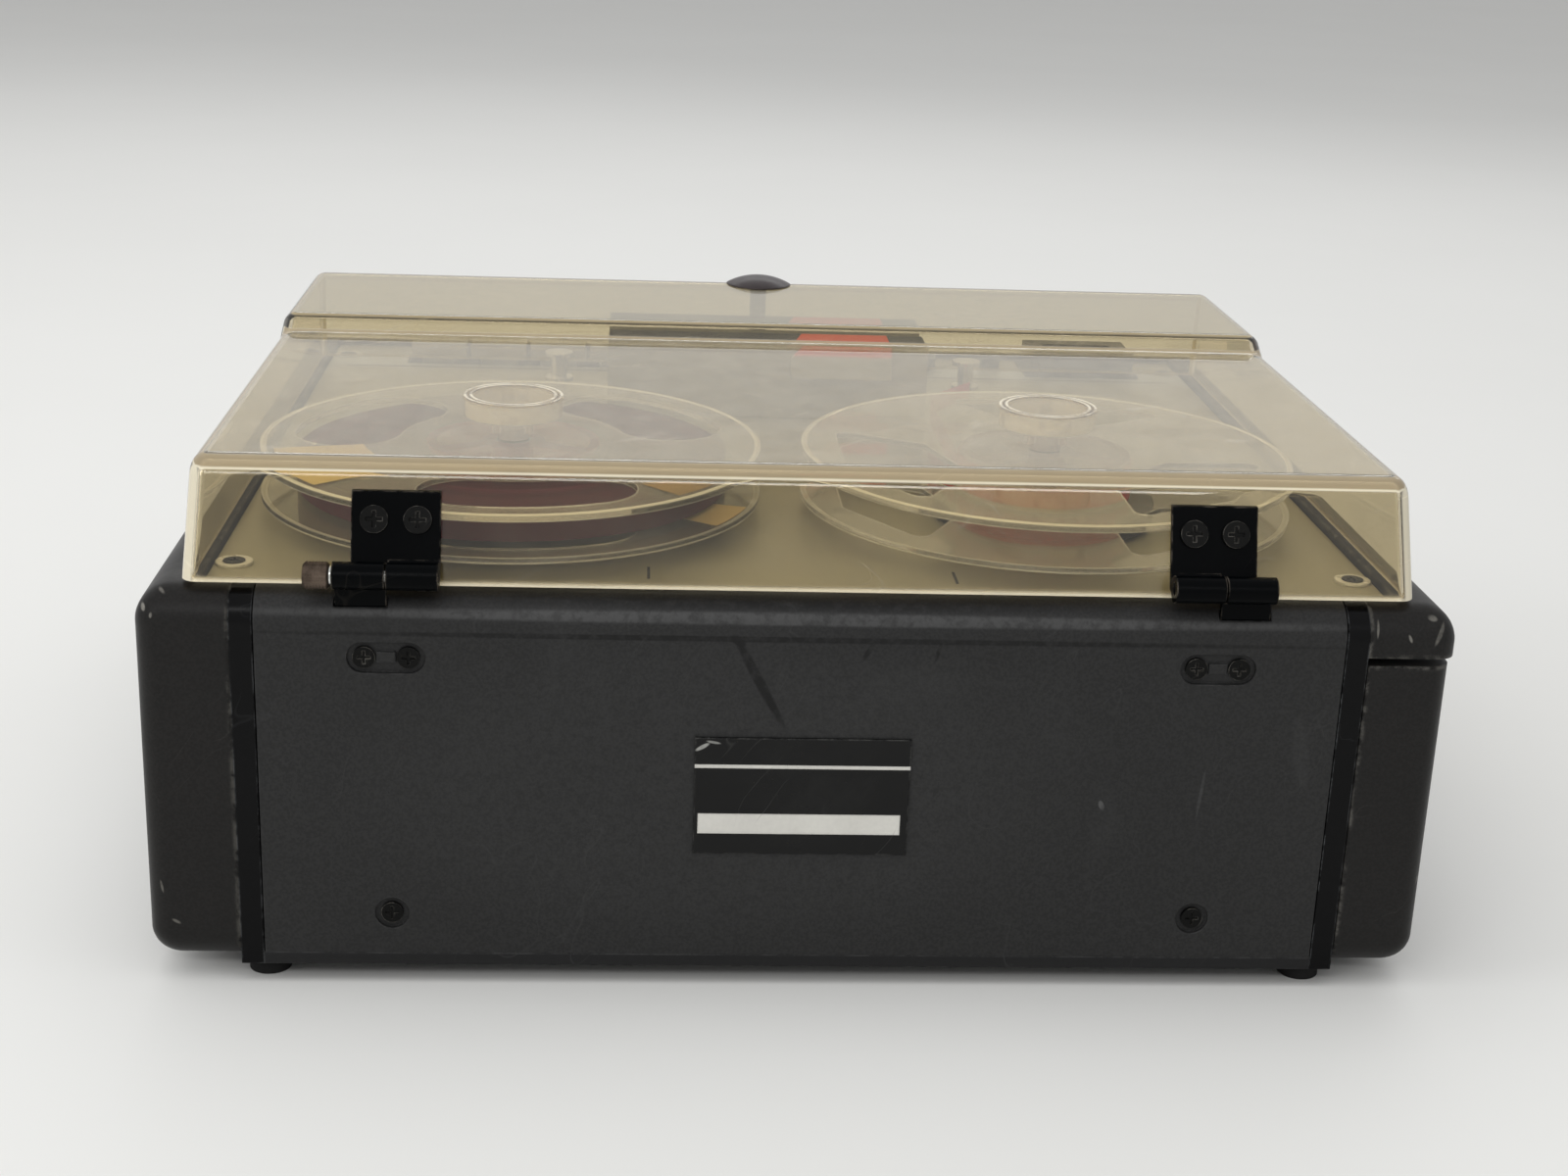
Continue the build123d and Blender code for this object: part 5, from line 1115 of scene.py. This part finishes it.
@dataclass
class Reels(Assembly):
    """Both reels with their stickers, rims finished as a painted highlight, and winged spindle crowns."""

    looks = {
        "supply_table": BLACK_PLASTIC, "takeup_table": BLACK_PLASTIC, "supply_flanges": FROSTED_REEL,
        "takeup_flanges": CLEAR_REEL, "supply_hub": FROSTED_HUB, "takeup_hub": RED_HUB,
        "leader_wrap": RED_FILM, "leader_tail": RED_FILM,
    }

    sticker_sheet: float = 0.08 * MM
    wing_count: int = 3
    wing_reach: float = 1.6 * MM
    wing_width: float = 1.4 * MM
    crown_radius: float = 4.02 * MM
    crown_dome: float = 0.6 * MM
    crown_seat: float = 0.1 * MM
    crown_bevel: float = 0.2 * MM
    bead_overlap: float = 0.02 * MM
    bead_setback: float = 0.05 * MM
    rim_width: float = 1.6 * MM
    rim_height: float = 0.35 * MM
    stickers: tuple[tuple[str, float, float, float, float, bool, Finish], ...] = (
        ("reel_sticker_top", 38.0, 60.5, 14.0, 28.0, True, PAPER_LABEL),
        ("reel_sticker_old", 47.0, 60.5, 134.0, 13.0, True, OLD_PAPER),
        ("reel_sticker_low", 36.0, 62.0, 146.0, 17.0, False, PAPER_LABEL),
    )

    def add(self) -> None:
        """Dress the wound tape and add what the reels carry."""
        centre = middle("takeup_hub")
        dress({"tape_pack": WoundFinish("maroon_tape_edge", shade(58, 14, 24), shade(92, 36, 46),
                                        (centre.x, centre.y))})
        self.add_stickers(centre)
        for name in ("supply", "takeup"):
            self.spindle(name)
            self.rims(name)

    def add_stickers(self, centre: Vector) -> None:
        """Blank paper stickers on the clear reel's flanges.

        Args:
            centre: middle of the reel.
        """
        low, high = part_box("takeup_flanges")
        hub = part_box("takeup_hub")
        for name, inner, outer, start, sweep, upper, look in self.stickers:
            level = high.z if upper else hub[0].z
            sticker = Piece(name)
            sticker.sector((centre.x, centre.y, level), inner * MM, outer * MM, start, sweep,
                           self.sticker_sheet)
            sticker.finish("takeup_reel", "takeup_flanges", look)

    def spindle(self, name: str) -> None:
        """Bright crown with wings on top of a spindle.

        Args:
            name: supply or takeup.
        """
        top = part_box(name + "_table")[1].z
        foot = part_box(name + "_flanges")[1].z
        centre = middle(name + "_hub")
        crown = Piece(name + "_spindle_crown")
        reach = self.crown_radius
        rise = top - foot
        profile = [(reach * 0.2, 0.0), (reach, 0.0), (reach, rise),
                   (reach * 0.8, rise + self.crown_dome), (0.0, rise + self.crown_dome)]
        base = (centre.x, centre.y, foot + self.crown_seat)
        crown.turned(profile, base, Along.Z, steps=36)
        for index in range(self.wing_count):
            turn = Matrix.Rotation(2 * math.pi * index / self.wing_count + 0.5, 4, "Z")
            verts = crown.block((0.0, -self.wing_width / 2, rise * 0.35),
                                (reach + self.wing_reach, self.wing_width / 2, rise))
            bmesh.ops.transform(crown.work, matrix=Matrix.Translation(base) @ turn, verts=verts)
        crown.soften(self.crown_bevel)
        crown.finish(name + "_reel", name + "_table", FROSTED_HUB)

    def rims(self, name: str) -> None:
        """Raised bead round the edge of each flange, finished as a painted highlight.

        Args:
            name: supply or takeup.
        """
        low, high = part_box(name + "_flanges")
        centre, outer = middle(name + "_flanges"), (high.x - low.x) / 2
        bead = Piece(name + "_reel_rims")
        for level, way in ((high.z, 1.0), (low.z, -1.0)):
            start = level - way * self.bead_overlap
            profile = [(outer - self.rim_width, 0.0),
                       (outer - self.rim_width * 0.75, way * self.rim_height * 0.8),
                       (outer - self.rim_width * 0.5, way * self.rim_height),
                       (outer - self.rim_width * 0.25, way * self.rim_height * 0.8),
                       (outer - self.bead_setback, 0.0), (outer - self.rim_width, 0.0)]
            bead.turned(profile, (centre.x, centre.y, start), Along.Z, steps=96)
        bead.finish(name + "_reel", name + "_flanges", RIM_HIGHLIGHT_PAINT, smooth=60.0)


@dataclass
class HeadBlock(Assembly):
    """Heads, guides, capstan, pinch roller and head cover."""

    looks = {"heads": POLISHED, "head_cover": COVER_METAL, "cover_accent": ORANGE_ACCENT,
             "pinch_arm": PLATED, "pinch_roller": RUBBER}

    stripe_sheet: float = 0.35 * MM
    stripe_inset: float = 0.2 * MM
    stripe_bevel: float = 0.08 * MM
    slot_rear: float = 187.3 * MM
    slot_front: float = 194.6 * MM
    slant: float = 4.4 * MM

    def add(self) -> None:
        """Add a dark stripe with a slanted orange part, on both halves of the cover's top."""
        low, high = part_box("head_cover")
        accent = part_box("cover_accent")
        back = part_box("rear_panel")[1].y
        halves = ((back - self.slot_rear, high.y), (low.y, back - self.slot_front))
        for name, look, start, end, lean in (
                ("cover_stripe", NAVY_STRIPE, low.x, accent[0].x, 0.0),
                ("cover_stripe_accent", ORANGE_ACCENT, accent[0].x, accent[1].x, self.slant),
                ("cover_stripe_end", NAVY_STRIPE, accent[1].x, high.x, self.slant)):
            stripe = Piece(name)
            for front, rear in halves:
                inset = self.stripe_inset
                top = high.z + self.stripe_sheet
                verts = stripe.block((start + inset * (start == low.x), front + inset, high.z),
                                     (end - inset * (end == high.x), rear - inset, top))
                edge = start if name == "cover_stripe_end" else end
                for vert in verts:
                    if lean and abs(vert.co.x - edge) < 1e-6:
                        vert.co.x -= lean * (rear - vert.co.y) / (high.y - low.y) * 2
            stripe.soften(self.stripe_bevel, 1)
            stripe.finish("case", "head_cover" if look is NAVY_STRIPE else "cover_accent", look)


@dataclass
class Mechanism(Assembly):
    """Drive under the deck."""

    looks = {"motor": CAN_STEEL, "motor_pulley": BRASS, "drive_belt": RUBBER, "flywheel": TURNED_ZINC}


@dataclass
class Keys(Assembly):
    """Piano keys and their rail."""

    looks = {"key_rail": PLATED, "key_record": RED_KEY, "key_rewind": SILVER_KEY,
             "key_stop": SILVER_KEY, "key_play": SILVER_KEY, "key_forward": SILVER_KEY}


@dataclass
class Counter(Assembly):
    """Tape counter with numbered drums, its reset button and the speed selector."""

    looks = {"counter_case": GLOSS_PLASTIC, "counter_drums": BLACK_PLASTIC,
             "counter_reset": GLOSS_PLASTIC, "speed_selector": GLOSS_PLASTIC}

    digit_height: float = 5.0 * MM
    digit_sheet: float = 0.06 * MM
    drum_radius: float = 8.0 * MM
    drum_pitch: float = 7.2 * MM
    drum_count: int = 3
    drum_digits: int = 10
    pointer_width: float = 0.9 * MM
    pointer_setback: float = 1.8 * MM
    pointer_overlap: float = 0.01 * MM
    speed_numbers: tuple[tuple[str, float], ...] = (("19", 30.0), ("9.5", 0.0), ("4.8", -30.0))
    speed_reach: float = 14.0 * MM
    speed_height: float = 3.2 * MM

    def add(self) -> None:
        """Add the drums' digits and the selector's print."""
        self.digits()
        self.pointer()
        self.speeds()

    def digits(self) -> None:
        """White numbers round each drum."""
        centre = middle("counter_drums")
        numbers = Piece("counter_numbers")
        for drum in range(self.drum_count):
            shift = (drum - (self.drum_count - 1) / 2) * self.drum_pitch
            for digit in range(self.drum_digits):
                angle = -2 * math.pi * digit / self.drum_digits
                place = (Matrix.Translation((centre.x + shift, centre.y, centre.z))
                         @ Matrix.Rotation(angle, 4, "X")
                         @ Matrix.Translation((0, 0, self.drum_radius)))
                numbers.add_mesh(numeral(str(digit), self.digit_height, self.digit_sheet), place)
        numbers.finish("counter_drums", "counter_drums", INK)

    def pointer(self) -> None:
        """White line on the selector's grip."""
        name = "speed_selector"
        high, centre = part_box(name)[1], middle(name)
        half = self.pointer_width / 2
        slab("selector_pointer", (centre.x - half, centre.y, high.z - self.pointer_overlap),
             (centre.x + half, high.y - self.pointer_setback, high.z + self.digit_sheet), name, name, INK)

    def speeds(self) -> None:
        """Speeds in centimetres a second round the selector."""
        centre = middle("speed_selector")
        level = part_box("deck_plate")[1].z
        numbers = Piece("speed_numbers")
        for text, angle in self.speed_numbers:
            turn = math.radians(angle)
            x = centre.x - math.sin(turn) * self.speed_reach
            y = centre.y + math.cos(turn) * self.speed_reach
            numbers.add_mesh(numeral(text, self.speed_height, self.digit_sheet),
                             Matrix.Translation((x, y, level)))
        numbers.finish("case", "deck_plate", DARK_INK)


@dataclass
class Controls(Assembly):
    """Level knobs, meter and sockets of the front panel."""

    looks = {"record_level_knob": SATIN_ALUMINIUM, "volume_knob": SATIN_ALUMINIUM,
             "meter_case": GLOSS_PLASTIC, "meter_window": METER_GLASS, "meter_needle": RED_KEY,
             "sockets": PLATED}

    knobs: tuple[str, ...] = ("record_level_knob", "volume_knob")
    scale_reach: float = 15.2 * MM
    scale_height: float = 2.6 * MM
    scale_sweep: float = 280.0
    scale_numbers: int = 11
    pointer_width: float = 1.0 * MM
    pointer_start: float = 3.0 * MM
    pointer_setback: float = 1.1 * MM
    pointer_rise: float = 0.05 * MM
    pointer_depth: float = 0.2 * MM
    card_depth: float = 7.0 * MM
    card_sheet: float = 0.4 * MM
    card_number_height: float = 2.2 * MM
    print_sheet: float = 0.08 * MM
    arc_reach: float = 18.5 * MM
    arc_width: float = 0.35 * MM
    tick_length: float = 1.8 * MM
    tick_sheet: float = 0.06 * MM
    tick_count: int = 11
    tick_first: float = 40.0
    tick_step: float = 8.0
    number_setback: float = 2.0 * MM
    pivot_rise: float = 3.0 * MM

    def add(self) -> None:
        """Add the pointers, the numbers and the meter's card."""
        for name in self.knobs:
            self.knob_pointer(name)
        self.knob_scales()
        self.meter_card()

    def knob_pointer(self, node: str) -> None:
        """Dark line on a knob's face and edge.

        Args:
            node: the knob's node, which has its body's name.
        """
        low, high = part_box(node)
        centre, half = middle(node), self.pointer_width / 2
        slab(node + "_pointer",
             (centre.x - half, low.y - self.pointer_rise, centre.z + self.pointer_start),
             (centre.x + half, low.y + self.pointer_depth, high.z - self.pointer_setback),
             node, node, DARK_INK)

    def knob_scales(self) -> None:
        """Numbers from 0 to 10 round both knobs."""
        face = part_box("side_frames")[0].y
        upright = Matrix.Rotation(math.radians(90), 4, "X")
        numbers = Piece("knob_numbers")
        for node in self.knobs:
            centre = middle(node)
            for index in range(self.scale_numbers):
                angle = math.radians(self.scale_sweep * (0.5 - index / (self.scale_numbers - 1)))
                x = centre.x - math.sin(angle) * self.scale_reach
                z = centre.z + math.cos(angle) * self.scale_reach
                place = Matrix.Translation((x, face, z)) @ upright
                numbers.add_mesh(numeral(str(index), self.scale_height, self.print_sheet), place)
        numbers.finish("case", "front_panel", INK)

    def meter_card(self) -> None:
        """Ivory card with an arc, ticks and numbers behind the needle."""
        low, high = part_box("meter_window")
        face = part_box("side_frames")[0].y + self.card_depth
        slab("meter_card", (low.x, face, low.z), (high.x, face + self.card_sheet, high.z),
             "case", "meter_case", IVORY)
        pivot = Vector(((low.x + high.x) / 2, face, low.z + self.pivot_rise))
        marks = Piece("meter_marks")
        upright = Matrix.Rotation(math.radians(90), 4, "X")
        for index in range(self.tick_count):
            turn = math.radians(self.tick_first - self.tick_step * index)
            tick = marks.block((-self.arc_width / 2, -self.tick_sheet, self.arc_reach),
                               (self.arc_width / 2, 0.0, self.arc_reach + self.tick_length))
            spin = Matrix.Translation(pivot) @ Matrix.Rotation(-turn, 4, "Y")
            bmesh.ops.transform(marks.work, matrix=spin, verts=tick)
            if index % 2 == 0:
                reach = self.arc_reach - self.number_setback
                x = pivot.x - math.sin(turn) * reach
                z = pivot.z + math.cos(turn) * reach
                place = Matrix.Translation((x, face, z)) @ upright
                marks.add_mesh(numeral(str(index), self.card_number_height, self.print_sheet), place)
        marks.finish("case", "meter_case", DARK_INK)


@dataclass
class Handle(Assembly):
    """Carrying handle."""

    looks = {"handle_bail": CHROME, "handle_grip": BLACK_PLASTIC}


@dataclass
class Drawer(Assembly):
    """Battery drawer with its cells."""

    looks = {"drawer_cover": CAP_PLASTIC, "battery_tray": BLACK_PLASTIC}
    cell_pitch: float = 62.7 * MM

    def add(self) -> None:
        """Dress the cells from where the first one starts."""
        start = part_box("battery_cells")[0].y
        dress({"battery_cells": CellFinish("cell_jackets", shade(48, 62, 104), shade(190, 188, 176),
                                           (0.7, 0.7, 0.68), start, self.cell_pitch)})


# ------------------------------------------------------------------ studio
@dataclass
class Studio:
    """Plain floor, soft lamps, pale surroundings and the camera."""

    camera_place: tuple[float, float, float] = (0.03946, 0.63028, 0.26403)
    camera_right: tuple[float, float, float] = (-0.99777, 0.05617, 0.03609)
    camera_up: tuple[float, float, float] = (0.01649, -0.31652, 0.94844)
    camera_ahead: tuple[float, float, float] = (-0.06469, -0.94692, -0.31489)
    lens: float = 52.17
    sensor: float = 36.0
    floor_half: float = 6.0
    floor_colour: Colour = (0.82, 0.82, 0.80)
    sky: float = 0.45
    seen: float = 0.92
    mirrored: float = 0.74
    lit_place: tuple[float, float, float] = (0.0, 0.0, 0.06)
    glinting: tuple[str, ...] = ("back_strip", "front_strip")
    lamps: tuple[tuple[str, tuple[float, float, float], tuple[float, float], float], ...] = (
        ("top_softbox", (0.3, 0.2, 1.7), (2.4, 2.4), 19.0),
        ("side_softbox", (1.7, 0.35, 0.75), (0.9, 0.9), 7.0),
        ("back_strip", (0.35, 1.35, 1.0), (1.8, 0.14), 5.0),
        ("front_strip", (-0.35, -1.35, 1.0), (1.8, 0.14), 3.0),
    )

    def build(self) -> None:
        """Set up floor, world, lamps, camera and view transform."""
        self.floor()
        self.world()
        for name, place, size, power in self.lamps:
            self.lamp(name, place, size, power)
        self.camera()
        bpy.context.scene.view_settings.view_transform = "Standard"

    def floor(self) -> None:
        """Large pale sheet that the recorder stands on."""
        work = bmesh.new()
        bmesh.ops.create_grid(work, x_segments=2, y_segments=2, size=self.floor_half)
        mesh = bpy.data.meshes.new("floor")
        work.to_mesh(mesh)
        work.free()
        recipe = Recipe("pale_floor")
        tone = recipe.mix(recipe.band(recipe.noise(3.0, 5.0, 0.6), 0.3, 0.7, 0.0, 0.25), self.floor_colour,
                          tuple(channel * 0.94 for channel in self.floor_colour))
        recipe.set(Base_Color=tone, Roughness=0.6, Specular_IOR_Level=0.3)
        mesh.materials.append(recipe.material)
        placed("floor", mesh)

    def world(self) -> None:
        """Even light, and pale surroundings for what is seen or mirrored directly."""
        world = bpy.data.worlds.new("studio")
        world.use_nodes = True
        bpy.context.scene.world = world
        tree = world.node_tree
        back = tree.nodes["Background"]
        path = tree.nodes.new("ShaderNodeLightPath")

        def calc(kind: str, first: Any, second: Any) -> Socket:
            """Result of one sum in the world's nodes."""
            node = tree.nodes.new("ShaderNodeMath")
            node.operation = kind
            for socket, value in zip(node.inputs, (first, second)):
                if isinstance(value, Socket):
                    tree.links.new(value, socket)
                else:
                    socket.default_value = value
            return node.outputs[0]

        seen = calc("MULTIPLY", path.outputs["Is Camera Ray"], self.seen - self.sky)
        mirrored = calc("MAXIMUM", path.outputs["Is Glossy Ray"], path.outputs["Is Transmission Ray"])
        mirrored = calc("MULTIPLY", mirrored, calc("LESS_THAN", path.outputs["Diffuse Depth"], 0.5))
        mirrored = calc("MULTIPLY", mirrored, self.mirrored - self.sky)
        strength = calc("ADD", calc("MAXIMUM", seen, mirrored), self.sky)
        back.inputs["Color"].default_value = (1.0, 1.0, 1.0, 1.0)
        tree.links.new(strength, back.inputs["Strength"])

    def lamp(self, name: str, place: tuple[float, float, float], size: tuple[float, float],
             power: float) -> None:
        """Softbox that faces the recorder.

        Args:
            name: name of the lamp.
            place: where it stands.
            size: its length and width.
            power: its power, in watts.
        """
        data = bpy.data.lights.new(name, "AREA")
        data.shape = "RECTANGLE"
        data.size, data.size_y = size
        data.energy = power
        lamp = placed(name, data)
        lamp.location = place
        lamp.visible_glossy = name in self.glinting
        lamp.rotation_mode = "QUATERNION"
        lamp.rotation_quaternion = (Vector(place) - Vector(self.lit_place)).to_track_quat("Z", "Y")

    def camera(self) -> None:
        """Camera behind and above the recorder."""
        data = bpy.data.cameras.new("camera")
        data.sensor_width = self.sensor
        data.lens = self.lens
        data.clip_start = 0.01
        data.clip_end = 50.0
        camera = placed("camera", data)
        right, up, ahead = (Vector(part) for part in (self.camera_right, self.camera_up, self.camera_ahead))
        turn = Matrix((right, up, -ahead)).transposed().to_4x4()
        camera.matrix_world = Matrix.Translation(self.camera_place) @ turn
        bpy.context.scene.camera = camera


def main() -> None:
    """Build every sub-assembly, then the studio."""
    logging.basicConfig(level=logging.INFO, format="%(message)s")
    parts = [Case(), Hinges(), Lid(), Deck(), Reels(), HeadBlock(), Mechanism(), Keys(), Counter(),
             Controls(), Handle(), Drawer(), Studio()]
    for part in parts:
        part.build()
        log.info("built %s", type(part).__name__)


if __name__ == "__main__":
    main()
